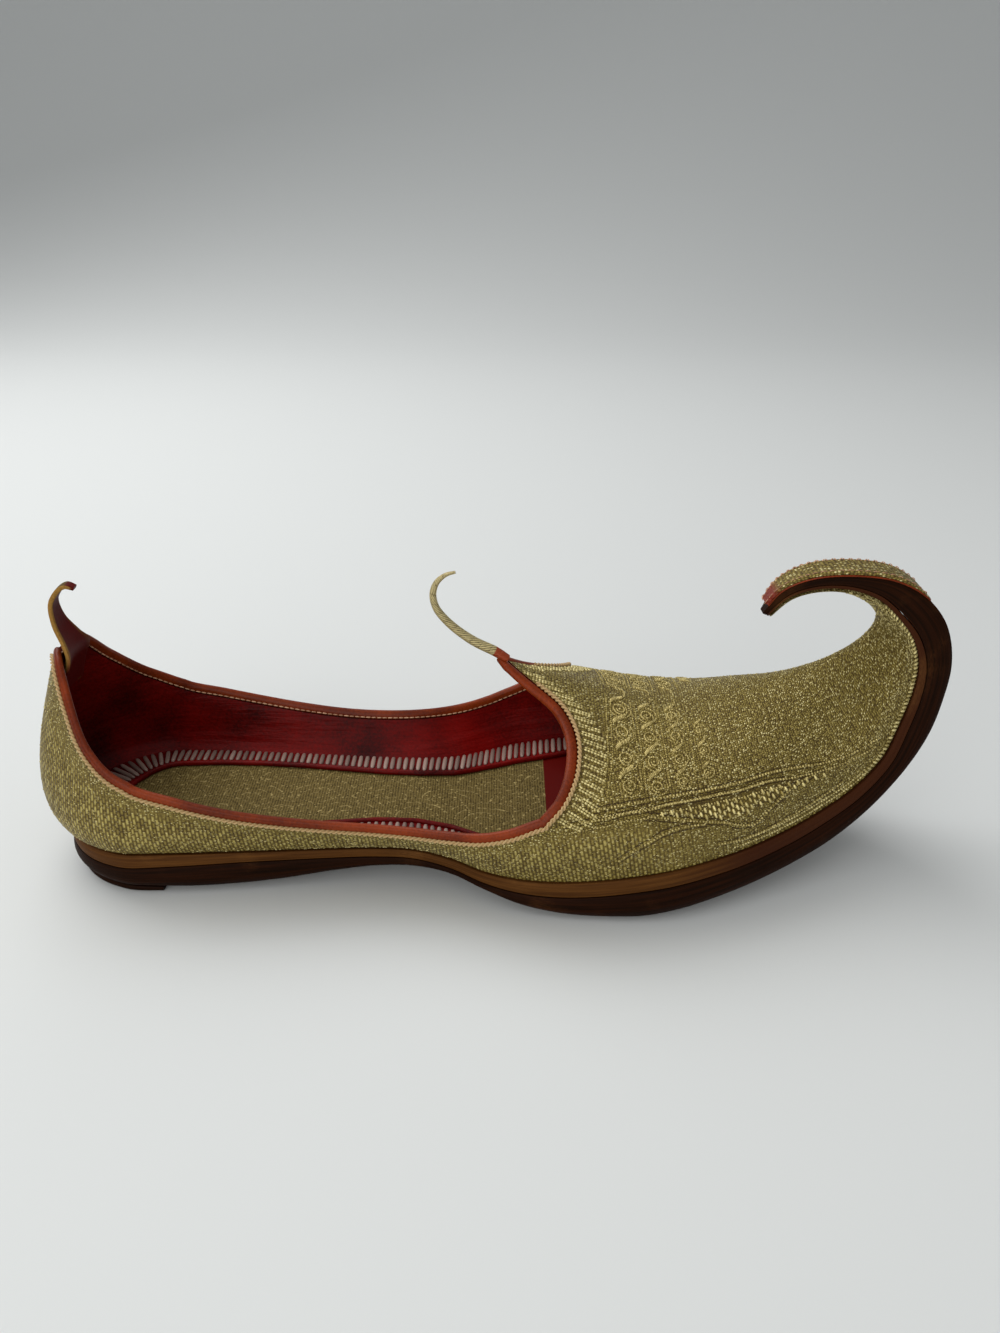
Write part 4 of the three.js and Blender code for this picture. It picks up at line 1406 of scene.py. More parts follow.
@dataclass
class Upper:
    """The hollow brocade upper, its lining and everything that is stitched on it."""

    last: Last
    quarter_steps: int = 104  # grid steps from the heel to the collar's corner
    front_steps: int = 150  # grid steps from the corner to the tip
    hollow_steps: int = 103  # those of them before the toe becomes solid
    lower_steps: int = 20
    rise_steps: int = 28
    crowding: float = 1.35  # above 1, the rows of the vamp lie closer by the shoulder
    line_steps: int = 40  # fine steps between two points of a stitched line
    rib_count: int = 20
    rib_rises: tuple[float, float] = (0.05, 0.93)
    rib_rows: tuple[float, float, float] = (0.15, 0.4, 0.66)  # a rib's root, bend and end, from the throat
    rib_spread: float = 0.2  # how much longer a rib grows towards the ridge
    rib_half: float = 0.42  # from a rib's middle to its rows of beads, in millimetres
    border_points: int = 8
    border_top: float = 1.9
    scroll_size: tuple[float, float] = (0.19, 0.05)  # half width in rows, half height on the wall
    scroll_drop: float = 0.045
    beside_shift: float = -2.3
    beside_cut: int = 4  # points of a band that the row beside it leaves out
    satin_rows: tuple[float, float, float] = (17.9, 22.9, 0.125)
    satin_size: tuple[float, float, float] = (2.3, 0.95, 0.62)
    satin_slant: float = 0.25
    hem_heights: tuple[float, float] = (0.1, 0.2)
    grain_count: int = 6000

    def __post_init__(self) -> None:
        """Mixes the finishes of the cloth and of the lining."""
        self.brocade = Brocade().material("brocade")
        self.lining = Leather(
            srgb(44, 2, 2), srgb(122, 8, 5), grain=0.9, depth=0.06, roughness=0.45, gloss=0.1, wrinkle=1.1,
        ).material("lining_leather")

    def places(self, hollow: bool) -> tuple[Array, Array]:
        """Rows and heights of the grids below and above the shoulder.

        Args:
            hollow: Whether the grids end where the toe becomes solid.

        Returns:
            Two arrays of (row, height) pairs.
        """
        steps = self.hollow_steps if hollow else self.front_steps
        share = np.arange(steps + 1) / self.front_steps
        back = np.linspace(FIRST, CORNER, self.quarter_steps + 1)
        rows = np.concatenate([back[:-1], CORNER + (LAST - CORNER) * share])
        low = np.stack(np.meshgrid(rows, np.linspace(0, 1, self.lower_steps + 1), indexing="ij"), -1)
        rise = (np.arange(self.rise_steps + 1) / self.rise_steps) ** self.crowding
        edge = self.last.throat(rise)
        rows = edge[None] + (LAST - edge[None]) * share[:, None]
        high = np.stack([rows, np.broadcast_to(1 + rise, rows.shape)], -1)
        return low, high

    def sides(
        self,
        points: Array,
        material: Optional[Material] = None,
        place: Optional[Array] = None,
    ) -> list[Object]:
        """Lays a sheet on the near side and its mirror image on the far side.

        Args:
            points: Grid of points of the near side.
            material: Finish of the sheets, the lining's where none is given.
            place: Row of the last and height on the wall of each point.

        Returns:
            The two sheets.
        """
        material = material or self.lining
        near = None if place is None else self.last.cloth(place[..., 0], place[..., 1])
        far = None if place is None else near * np.array([-1, 1])
        return [
            Bench.sheet("near", points, near, material, place),
            Bench.sheet("far", mirrored(points), far, material, place),
        ]

    def build(self) -> None:
        """Builds the shell: outer face, inner face, and the edges between them."""
        places, inner_places = self.places(False), self.places(True)
        outer = [self.last.wall(place[..., 0], place[..., 1]) for place in places]
        inner = [self.last.inner(place[..., 0], place[..., 1]) for place in inner_places]
        inner[1][:, 0] = inner[0][self.quarter_steps:, -1]
        sheets = []
        for points, place in zip(outer, places):
            sheets += self.sides(points, self.brocade, place)
        for points, place in zip(inner, inner_places):
            sheets += self.sides(points, self.lining, place)
        steps = self.quarter_steps + 1
        edges = [np.concatenate([low[:steps, -1], high[0, 1:]]) for low, high in (outer, inner)]
        sheets += self.sides(np.stack(edges, 1))
        count = len(inner[0])
        sheets += self.sides(np.stack([outer[0][:count, 0], inner[0][:, 0]], 1))
        arch = np.concatenate([inner[0][-1], inner[1][-1, 1:]])
        foot = outer[0][count - 1:, 0]
        narrow = foot * np.array([1, inner[0][-1, 0, 1] / foot[0, 1], 1])
        tip = np.concatenate([outer[0][-1], outer[1][-1, 1:]])
        for lines in ([arch], [foot, narrow], [tip]):
            lines += [mirrored(line) for line in reversed(lines)]
            sheets.append(Bench.sheet("across", np.stack(lines, 1), material=self.lining))
        Bench.finish(Bench.join("upper_shell", sheets), "upper", ["upper"], angle=50)

    def on_wall(self, at: Array, g: Array, lift: float) -> tuple[Array, Array]:
        """Points of the outer face and their normals, lifted by millimetres."""
        out = self.last.normal(at, g)
        return self.last.wall(at, g) + out * lift * MM, out

    def chain(
        self, at: Sequence[float], g: Sequence[float], bead: Bead, shift: float = 0.0, stretch: float = 1.0,
    ) -> Stitches:
        """Stitches in a row along a line on the wall.

        Args:
            at: Rows of the last that the line passes.
            g: Heights on the wall at those rows.
            bead: The kind of stitch.
            shift: How far the line is moved sideways, in millimetres.
            stretch: How much longer than its kind each stitch is.

        Returns:
            The stitches of the near side.
        """
        at, g = np.array(at, float), np.array(g, float)
        fine = np.linspace(0, len(at) - 1, self.line_steps * len(at))
        rows = np.clip(smooth(at, fine), FIRST, LAST)
        heights = np.clip(smooth(g, fine), 0, 2)
        points, out = self.on_wall(rows, heights, bead.lift)
        if shift:
            along = unit(np.gradient(points, axis=0))
            points = points + np.cross(out, along) * shift * MM
        reach = running(points)
        stops = np.arange(bead.pitch * MM / 2, reach[-1], bead.pitch * MM)
        centres, normals = sampled(stops, reach, points, out)
        along = np.gradient(centres, axis=0) if len(centres) > 1 else np.array([[1.0, 0, 0]] * len(centres))
        length, width, height = bead.size
        return Stitches.of(centres, along, normals, (length * stretch, width, height))

    def ribs(self) -> Stitches:
        """The ribbed band round the throat: short rows of beads that point away from its edge."""
        groups = []
        root, bend, end = self.rib_rows
        for rise in np.linspace(*self.rib_rises, self.rib_count):
            edge = float(self.last.throat(np.array([rise]))[0])
            drop = float(np.interp(rise, *RIB_DROP))
            at = [edge + root, edge + bend, edge + end + self.rib_spread * max(rise - 0.5, 0)]
            g = [1 + rise, 1 + rise - drop * 0.45, 1 + rise - drop]
            groups += [self.chain(at, g, Bead.RIB, shift) for shift in (-self.rib_half, self.rib_half)]
        return Stitches.gather(groups)

    def borders(self) -> Stitches:
        """Dotted lines between the ribbed band and the scrolls, and between the scrolls' columns."""
        groups = []
        for first, last, low in BORDER_ROWS:
            bent = (first, first * 0.4 + last * 0.6, last)
            at = np.interp(np.linspace(0, 1, self.border_points), (0, 0.35, 1), bent)
            groups.append(self.chain(at, np.linspace(low, self.border_top, self.border_points), Bead.BORDER))
        return Stitches.gather(groups)

    def scroll(self, row: float, g: float, scale: float) -> tuple[list[Stitches], Stitches]:
        """One leaf scroll: a satin leaf over a curled ring with a bead in it.

        Args:
            row: Row of the last at its middle.
            g: Height on the wall at its middle.
            scale: Its size, 1 for rings of about 5 millimetres.

        Returns:
            The groups of its curled lines, and its leaf.
        """
        wide, tall = (size * scale for size in self.scroll_size)
        middle = g - self.scroll_drop * scale
        turn = np.linspace(-1.0, 1.55, 16) * math.pi
        grow = np.linspace(0.45, 1.0, 16)
        rows, heights = row + wide * grow * np.cos(turn), middle + tall * grow * np.sin(turn)
        ring = self.chain(rows, heights, Bead.RING)
        turn = np.linspace(-0.85, 0.6, 12) * math.pi
        echo = self.chain(row + wide * 1.55 * np.cos(turn), middle + tall * 1.5 * np.sin(turn), Bead.ECHO)
        dot = self.chain([row - 0.02, row + 0.02], [middle, middle], Bead.DOT)
        rows, heights = row + wide * np.array(STEM[0]), g + tall * np.array(STEM[1])
        stem = self.chain(rows, heights, Bead.STEM)
        leaf = self.chain(rows[:4], heights[:4] + tall * 0.2, Bead.LEAF, stretch=scale)
        swell = 0.45 + 0.55 * np.sin(np.linspace(0.1, 0.95, len(leaf.centres)) * math.pi)
        slant = unit(leaf.along * 0.4 + np.cross(leaf.out, leaf.along))
        return [ring, echo, dot, stem], replace(leaf, along=slant, length=leaf.length * swell)

    def scrolls(self) -> tuple[Stitches, Stitches]:
        """The columns of scrolls ahead of the ribbed band: their curled lines and their leaves."""
        lines, leaves = [], []
        for row, start, pitch, count, scale in SCROLL_ROWS:
            for step in range(count):
                curled, leaf = self.scroll(row + 0.03 * step, start + pitch * step, scale)
                lines += curled
                leaves.append(leaf)
        return Stitches.gather(lines), Stitches.gather(leaves)

    def bands(self) -> Stitches:
        """The long lines that run from the throat's corner along the side of the vamp to the toe."""
        groups = []
        for points, _, doubled in PATTERN_LINES:
            at, g = zip(*points)
            groups.append(self.chain(at, g, Bead.BAND))
            if doubled:
                at, g = at[:-self.beside_cut], g[:-self.beside_cut]
                groups.append(self.chain(at, g, Bead.BESIDE, self.beside_shift))
        return Stitches.gather(groups)

    def satin(self) -> Stitches:
        """Long bright stitches, laid like bricks, that fill the point between the two bands."""
        draw = np.random.default_rng(3)
        length, width, height = self.satin_size
        places = []
        for column, at in enumerate(np.arange(*self.satin_rows)):
            top = np.interp(at, *zip(*MAIN_BAND)) - 0.05
            low = np.interp(at, *zip(*SATIN_FOOT))
            tall = float(np.linalg.norm(self.last.wall(at, top) - self.last.wall(at, low))) / MM
            rows = tall / length
            for step in np.arange(0.5 * (column % 2) + 0.35, rows, 1.0):
                places.append((at, top + (low - top) * step / rows))
        at, g = np.array(places).T
        points, out = self.on_wall(at, g, 0.05)
        ahead = unit(self.last.wall(at + 0.05, g) - self.last.wall(at - 0.05, g))
        down = unit(np.cross(out, ahead))
        lengths = draw.uniform(0.75, 1.0, len(at)) * length * MM
        widths, heights = np.full(len(at), width * MM), np.full(len(at), height * MM)
        return Stitches(points, unit(down - self.satin_slant * ahead), out, lengths, widths, heights)

    def hem(self) -> Stitches:
        """Whip stitches over the feather line at the toe, and the dotted rows beside it."""
        whip = self.chain(np.linspace(23.3, 29.6, 9), np.linspace(0.1, 0.18, 9), Bead.WHIP)
        up = np.cross(whip.along, whip.out)
        groups = [replace(whip, along=unit(up + 0.4 * whip.along))]
        for g in self.hem_heights:
            groups.append(self.chain((19.6, 20.5, 21.5, 22.5, 23.5), (g + 0.02, g, g, g, g - 0.02), Bead.HEM))
        return Stitches.gather(groups)

    def sparkles(self) -> Stitches:
        """Loose grains of metal thread over the whole brocade; dress gives them the lighter thread, as
        painted highlights.
        """
        draw = np.random.default_rng(11)
        rows = draw.uniform(FIRST, 31, self.grain_count)
        heights = draw.uniform(0.04, 1.98, self.grain_count)
        edge = self.last.throat(np.clip(heights - 1, 0, 1))
        keep = (heights <= 1) | (rows > edge + 0.9)
        rows, heights = rows[keep], heights[keep]
        points, out = self.on_wall(rows, heights, 0.03)
        ahead = unit(self.last.wall(np.minimum(rows + 0.05, LAST), heights) - self.last.wall(rows, heights))
        slant = draw.normal(0, 0.5, (len(rows), 1))
        size = draw.uniform(0.35, 0.8, len(rows)) * MM
        along = unit(ahead + np.cross(out, ahead) * slant)
        return Stitches(points, along, out, size, size * 0.5, size * 0.22)

    def dress(self) -> None:
        """Sews the relief of the brocade."""
        # bright is the lighter copy of the gold thread, a painted highlight
        gold, bright = Thread.GOLD_THREAD.material(), Thread.LIT_GOLD_THREAD.material()
        wire, glossy = Thread.GOLD_WIRE.material(), Thread.SATIN_THREAD.material()
        lines, leaves = self.scrolls()
        relief = (  # name, stitches of the near side, thread, seed of its tones
            ("throat_ribs", self.ribs(), bright, 1),
            ("dotted_borders", self.borders(), gold, 2),
            ("scroll_lines", lines, wire, 3),
            ("scroll_leaves", leaves, wire, 10),
            ("side_bands", self.bands(), wire, 4),
            ("satin_comb", self.satin(), glossy, 5),
            ("toe_hem", self.hem(), bright, 6),
        )
        for name, stitches, material, seed in relief:
            stitches.both_sides().sew(name, material, "upper", seed)
        self.sparkles().both_sides().sew("metal_grains", bright, "upper", 7, segments=4, rings=3)


@dataclass
class Collar:
    """The red binding over the collar's edge, the cord beside it and the seam inside, in millimetres."""

    last: Last
    width: float = 2.4
    height: float = 3.2
    sunk: float = 0.12  # how far the binding reaches down over the wall's edge
    start: float = 1.4375  # row where the binding is cut beside the heel tab
    side_points: int = 150  # points of the edge from there to the collar's corner
    throat_points: int = 60  # and from the corner to the throat's peak
    crowding: float = 1.2
    strand: float = 0.42  # radius of one strand of the cord
    twist: float = 3.2  # length of one turn of the cord
    cord_points: int = 202  # points of the edge from the heel to where the cord ends
    cord_out: float = 1.35
    cord_heights: tuple = ((150, 172), (0.45, -0.3))  # at these points of the edge, the cord's height over it
    seam_back: float = 0.4  # rows by which the seam starts behind the binding
    seam_height: float = 0.75

    def edge(self, start: float) -> list[Array]:
        """The collar's edge: near side, peak and far side.

        Args:
            start: Row of the last where it starts.

        Returns:
            Its outer and its inner edge.
        """
        rows = np.linspace(start, CORNER, self.side_points)
        rise = (np.arange(1, self.throat_points + 1) / self.throat_points) ** self.crowding
        at = np.concatenate([rows, self.last.throat(rise)])
        g = np.concatenate([np.ones_like(rows), 1 + rise])
        return [there_and_back(line) for line in (self.last.wall(at, g), self.last.inner(at, g))]

    def frame(self, start: float) -> tuple[Array, Array, Array, Array]:
        """Follows the collar's edge.

        Args:
            start: Row of the last where it starts.

        Returns:
            Middles of the edge, and the ways across, over and along it.
        """
        outer, inner = self.edge(start)
        middles = (outer + inner) / 2
        along = unit(np.gradient(middles, axis=0))
        across = outer - inner
        across = unit(across - along * (across * along).sum(-1, keepdims=True))
        over = unit(np.cross(across, along))
        return middles, across, over, along

    def binding(self, material: Material) -> None:
        """Builds the rolled leather binding.

        Args:
            material: Finish of the binding.
        """
        middles, across, over, _ = self.frame(self.start)
        centres = middles + over * (self.height / 2 + GAP - self.sunk) * MM
        across = across * self.width / 2 * MM
        over = over * (self.height / 2 + self.sunk) * MM
        piece = Bench.tube("rolled_binding", centres, across, over, material, sides=16, square=0.85)
        Bench.finish(piece, "collar_binding", ["collar_binding"])

    def cord(self, material: Material) -> None:
        """Twists two strands, where the binding meets the brocade.

        Args:
            material: Finish of the cord.
        """
        middles, across, over, _ = self.frame(self.start)
        count = np.arange(len(middles))
        high = np.interp(np.minimum(count, count[::-1]), *self.cord_heights)[:, None]
        centres = middles + across * self.cord_out * MM + over * high * MM
        radius = self.strand * MM
        strands = []
        for part in (slice(0, self.cord_points), slice(-self.cord_points, None)):
            reach = running(centres[part])
            stops = np.arange(0, reach[-1], radius)
            path, side, up = sampled(stops, reach, centres[part], across[part], over[part])
            for phase in (0, math.pi):
                angle = (stops / MM / self.twist * 2 * math.pi + phase)[:, None]
                middle = path + (side * np.cos(angle) + up * np.sin(angle)) * self.strand * 0.85 * MM
                strands.append(Bench.tube("strand", middle, side * radius, up * radius, material, sides=7))
        Bench.finish(Bench.join("collar_cord", strands, weld=0.0), "collar_binding", angle=80)

    def seam(self, material: Material) -> None:
        """Sews the running stitch along the foot of the binding, inside the shoe.

        Args:
            material: Finish of the thread.
        """
        middles, across, over, along = self.frame(self.start - self.seam_back)
        line = middles - across * (self.width / 2 + 0.02) * MM + over * self.seam_height * MM
        reach = running(line)
        stops = np.arange(1 * MM, reach[-1], Bead.SEAM.pitch * MM)
        centres, way, normal = sampled(stops, reach, line, along, -across)
        Stitches.of(centres, way, normal, Bead.SEAM.size).sew("binding_seam", material, "collar_binding", 8)


@dataclass
class Footbed:
    """The quilted insole, the foot of the lining and the red roll over its edge, in millimetres."""

    last: Last
    panel: float = 170.6  # where the red leather of the insole starts, along the last
    insole_end: float = 23  # row
    inset: float = 2.4  # from the wall's foot to the insole's edge
    steepest: float = 57.0  # the wall's largest flare, in degrees
    least_half: float = 0.3
    roll_end: float = 22  # row
    roll_radius: float = 1.0
    line_points: int = 260  # from the toe to the heel
    comb_pitch: float = 2.35
    comb_size: tuple[float, float] = (1.65, 0.55)
    comb_lift: float = 0.35

    def insole(self) -> None:
        """The footbed itself."""
        material = Quilting().material("quilted_brocade", (self.panel + self.last.zero) * MM)
        plane = self.last.plane(np.linspace(FIRST, self.insole_end, 90))
        inset = SOLE_LEDGE + WALL / math.cos(math.radians(self.steepest)) + self.inset
        half = np.maximum(plane["half"] - inset, self.least_half)
        ways = np.linspace(1, -1, 17)
        lines = [self.across(plane, way * half, GAP + INSOLE_THICKNESS) for way in ways]
        lines += [self.across(plane, way * half, GAP) for way in ways[::-1]]
        piece = Bench.rings("quilted_insole", np.stack(lines, 1), material, capped=(False, True))
        Bench.finish(piece, "insole", ["insole"])

    def across(self, plane: Plane, sideways: Array, high: float) -> Array:
        """Points at a signed distance from the middle of the shoe."""
        points = self.last.inside(plane, np.abs(sideways), np.full_like(sideways, high))
        return np.where((sideways < 0)[..., None], mirrored(points), points)

    def rows(self) -> Array:
        """The rows of the lines round the footbed, from the toe to the heel."""
        return np.linspace(self.roll_end, FIRST, self.line_points)

    def foot_line(self, high: float) -> Array:
        """A line round the footbed, from the toe to the heel and back on the far side.

        Args:
            high: Height in millimetres.

        Returns:
            Its points.
        """
        at = self.rows()
        half = np.interp(at, *np.array(ROLL_ROWS, float).T)
        return there_and_back(self.last.inside(self.last.plane(at), half, np.full_like(at, high)))

    def wall_line(self, high: float) -> Array:
        """A line on the lining that runs as foot_line does.

        Args:
            high: Height over the sole in millimetres.

        Returns:
            Its points.
        """
        at = self.rows()
        g = np.clip(high * MM / np.maximum(self.last.cloth(at, np.ones_like(at))[:, 1], 1e-6), 0.02, 0.9)
        return there_and_back(self.last.inner(at, g))

    def lining_foot(self, leather: Material, thread: Material) -> None:
        """Builds the sloping foot of the lining, the upright stitches on it and the roll along its edge.

        Args:
            leather: Finish of the lining.
            thread: Finish of the stitches.
        """
        floor = GAP + INSOLE_THICKNESS
        top, low, base = self.wall_line(0.9), self.foot_line(floor + 0.75), self.foot_line(floor + 0.1)
        middle = (top + low) / 2 + np.array([0, 0, 0.35 * MM])
        behind = (top + base) / 2 - np.array([0, 0, 1.2 * MM])
        skirt = Bench.rings("lining_foot", np.stack([top, middle, low, base, behind], 1), leather)
        Bench.finish(skirt, "upper", angle=60)
        self.comb(top, middle, low, thread)
        roll = self.foot_line(floor + self.roll_radius * 0.9)
        along = unit(np.gradient(roll, axis=0))
        side = unit(np.cross(along, np.array([0, 0, 1.0])))
        over, radius = unit(np.cross(side, along)), self.roll_radius * MM
        piece = Bench.tube("lining_roll", roll, side * radius, over * radius, leather, 10)
        Bench.finish(piece, "upper", angle=70)

    def comb(self, top: Array, middle: Array, low: Array, thread: Material) -> None:
        """Sews the upright stitches all along the foot of the lining.

        Args:
            top: Line along its upper edge.
            middle: Line along its middle.
            low: Line along its lower edge.
            thread: Finish of the stitches.
        """
        reach = running(middle)
        stops = np.arange(2 * MM, reach[-1], self.comb_pitch * MM)
        high, mid, foot = sampled(stops, reach, top, middle, low)
        foot = mid + (foot - mid) * 0.9
        out = unit(np.cross(np.gradient(mid, axis=0), foot - high))
        out = np.where(out[:, 2:] < 0, -out, out)
        length = np.linalg.norm(foot - high, axis=-1) * 0.86
        width, height = (np.full(len(stops), size * MM) for size in self.comb_size)
        centres = (high + foot) / 2 + out * self.comb_lift * MM
        stitches = Stitches(centres, unit(foot - high), out, length, width, height)
        stitches.sew("comb_stitches", thread, "upper", 9, segments=8, rings=6, blunt=0.62)


@dataclass
class Sole:
    """The stack under the upper: tan midsole, dark outsole and the lift at the heel."""

    last: Last
    steps: int = 220  # sections of a layer
    least_half: float = 0.3  # in millimetres

    def layer(
        self,
        name: str,
        span: tuple[float, float],
        depths: tuple[Depth, Depth],
        edge: Sequence[tuple[float, float]],
        material: Material,
        across: int = 8,
    ) -> Object:
        """Makes one layer of the sole.

        Args:
            name: Name of the piece.
            span: First and last row of the last.
            depths: Functions from planes and rows to points of the layer's top and underside.
            edge: How far the side stands out, a share of the half width, and how deep it lies in the layer.
            material: Finish of the layer.
            across: Columns over its top and underside.

        Returns:
            The closed layer.
        """
        at = np.linspace(*span, self.steps + 1)
        plane = self.last.plane(at)
        top, low = (depth(plane, at) for depth in depths)
        shares = np.array(edge, float)
        fine = np.linspace(0, len(shares) - 1, 4 * (len(shares) - 1) + 1)
        outs, deeps = smooth(shares[:, 0], fine), np.clip(smooth(shares[:, 1], fine), 0, 1)
        near = []
        for out, deep in zip(outs, deeps):
            reach = np.maximum(plane["half"] * (1 + out), self.least_half)
            near.append(mix(top, low, deep) + plane["out"] * reach[:, None])
        near = np.stack(near, 1)
        far = mirrored(near)
        shares = np.linspace(0, 1, across + 1)[1:-1]
        under = mix(near[:, -1:], far[:, -1:], shares[None, :, None])
        over = mix(far[:, :1], near[:, :1], shares[None, :, None])
        rings = np.concatenate([near, under, far[:, ::-1], over], axis=1)
        return Bench.rings(name, self.last.placed(rings), material, capped=(span[0] > FIRST, True))

    def below(self, plane: Plane, depth: Array) -> Array:
        """Points below the sole's top, towards its underside."""
        return plane["foot"] + unit(plane["under"] - plane["foot"]) * depth[..., None]

    def build(self) -> None:
        """Builds the three layers."""
        mid = self.last.sole["mid"]
        tan = SoleLeather(
            srgb(66, 38, 15), srgb(104, 66, 29), srgb(140, 96, 50), wear=0.4, roughness=0.55, toe_from=196.0,
        ).material("tan_leather")
        dark = SoleLeather().material("dark_leather")
        whole = (FIRST, LAST)
        heel = (FIRST, SIDE_ROW + (HEEL_BREAST - HEEL_CENTRE) / ROW_STEP)
        layers = (  # name, node, span, top, underside, edge, finish
            (
                "tan_midsole", "midsole", whole,
                lambda plane, at: plane["foot"],
                lambda plane, at: self.below(plane, smooth(mid, at)),
                ((-0.012, 0), (0, 0.3), (-0.003, 0.75), (-0.012, 1)), tan,
            ),
            (
                "dark_outsole", "outsole", whole,
                lambda plane, at: self.below(plane, smooth(mid, at) + GAP),
                lambda plane, at: plane["under"],
                ((-0.008, 0), (0.004, 0.2), (0.006, 0.55), (-0.03, 0.84), (-0.1, 1)), dark,
            ),
            (
                "stacked_lift", "heel_lift", heel,
                lambda plane, at: plane["under"] - np.array([0, 0, GAP]),
                lambda plane, at: plane["under"] * np.array([1, 1, 0]),
                ((-0.075, 0), (-0.06, 0.45), (-0.075, 0.8), (-0.11, 1)), dark,
            ),
        )
        for name, node, span, top, underside, edge, material in layers:
            Bench.finish(self.layer(name, span, (top, underside), edge, material), node, [node])


@dataclass
class Bars:
    """The bars that stand in the middle plane of the shoe, throat tail and heel tab, in millimetres."""

    last: Last
    tab_bend: float = 24.0  # radius that the tab is bent to, round the heel
    raw_from: float = 0.74  # share of the tab's half width where its raw edge starts
    raw_low: float = 70.0  # height where the raw edge starts to show
    raw_rise: float = 8.0
    raw_far: float = 0.3  # how much of it shows on the far edge

    def bar(
        self, name: str, rows: Sequence[Sequence[float]], steps: int, sides: int, square: float,
        material: Material,
    ) -> Object:
        """Sweeps a bar through rows of centre and half sizes.

        Args:
            name: Name of the piece.
            rows: x, z, half width and half thickness.
            steps: Sections of the bar.
            sides: Sides of a section.
            square: 1 for an ellipse, smaller for squarer corners.
            material: Finish of the bar.

        Returns:
            The bar.
        """
        table = np.array(rows, float)
        at = np.linspace(0, len(table) - 1, steps)
        x, z, wide, thick = (smooth(table[:, k], at) for k in range(4))
        nothing = np.zeros_like(x)
        centres = self.last.placed(np.stack([x, nothing, z], -1))
        along = unit(np.gradient(centres, axis=0))
        through = np.stack([-along[:, 2], nothing, along[:, 0]], -1)
        across = np.stack([nothing, wide, nothing], -1) * MM
        return Bench.tube(name, centres, across, through * thick[:, None] * MM, material, sides, square)

    def build(self) -> None:
        """Builds the tail and the tab."""
        tail = self.bar("rolled_tail", TAIL_ROWS, 70, 16, 1.0, Rolled().material("rolled_brocade"))
        Bench.finish(tail, "throat_tail", ["throat_tail"])
        tab = self.bar("pull_tab", TAB_ROWS, 50, 24, 0.45, TabLeather().material("tab_leather"))
        for vertex in tab.data.vertices:
            vertex.co.x += vertex.co.y ** 2 / (2 * self.tab_bend * MM)
        self.mark(tab.data)
        Bench.finish(tab, "heel_tab", ["heel_tab"], angle=50)

    def mark(self, mesh: Mesh) -> None:
        """Marks on the tab which points face forward, and how raw its edge is.

        Args:
            mesh: Mesh of the tab.
        """
        points = np.array([vertex.co for vertex in mesh.vertices]) / MM
        normals = np.array([vertex.normal for vertex in mesh.vertices])
        front = (normals[:, 0] > 0).astype(float)
        rows = np.array(TAB_ROWS)[:-1]
        half = np.interp(points[:, 2], rows[:, 1], rows[:, 2])
        raw = np.clip((np.abs(points[:, 1]) / half - self.raw_from) * 10, 0, 1)
        raw = raw * np.clip((points[:, 2] - self.raw_low) / self.raw_rise, 0, 1)
        raw = raw * np.where(points[:, 1] > 0, self.raw_far, 1.0)
        Bench.mark(mesh, np.stack([front, raw], -1))


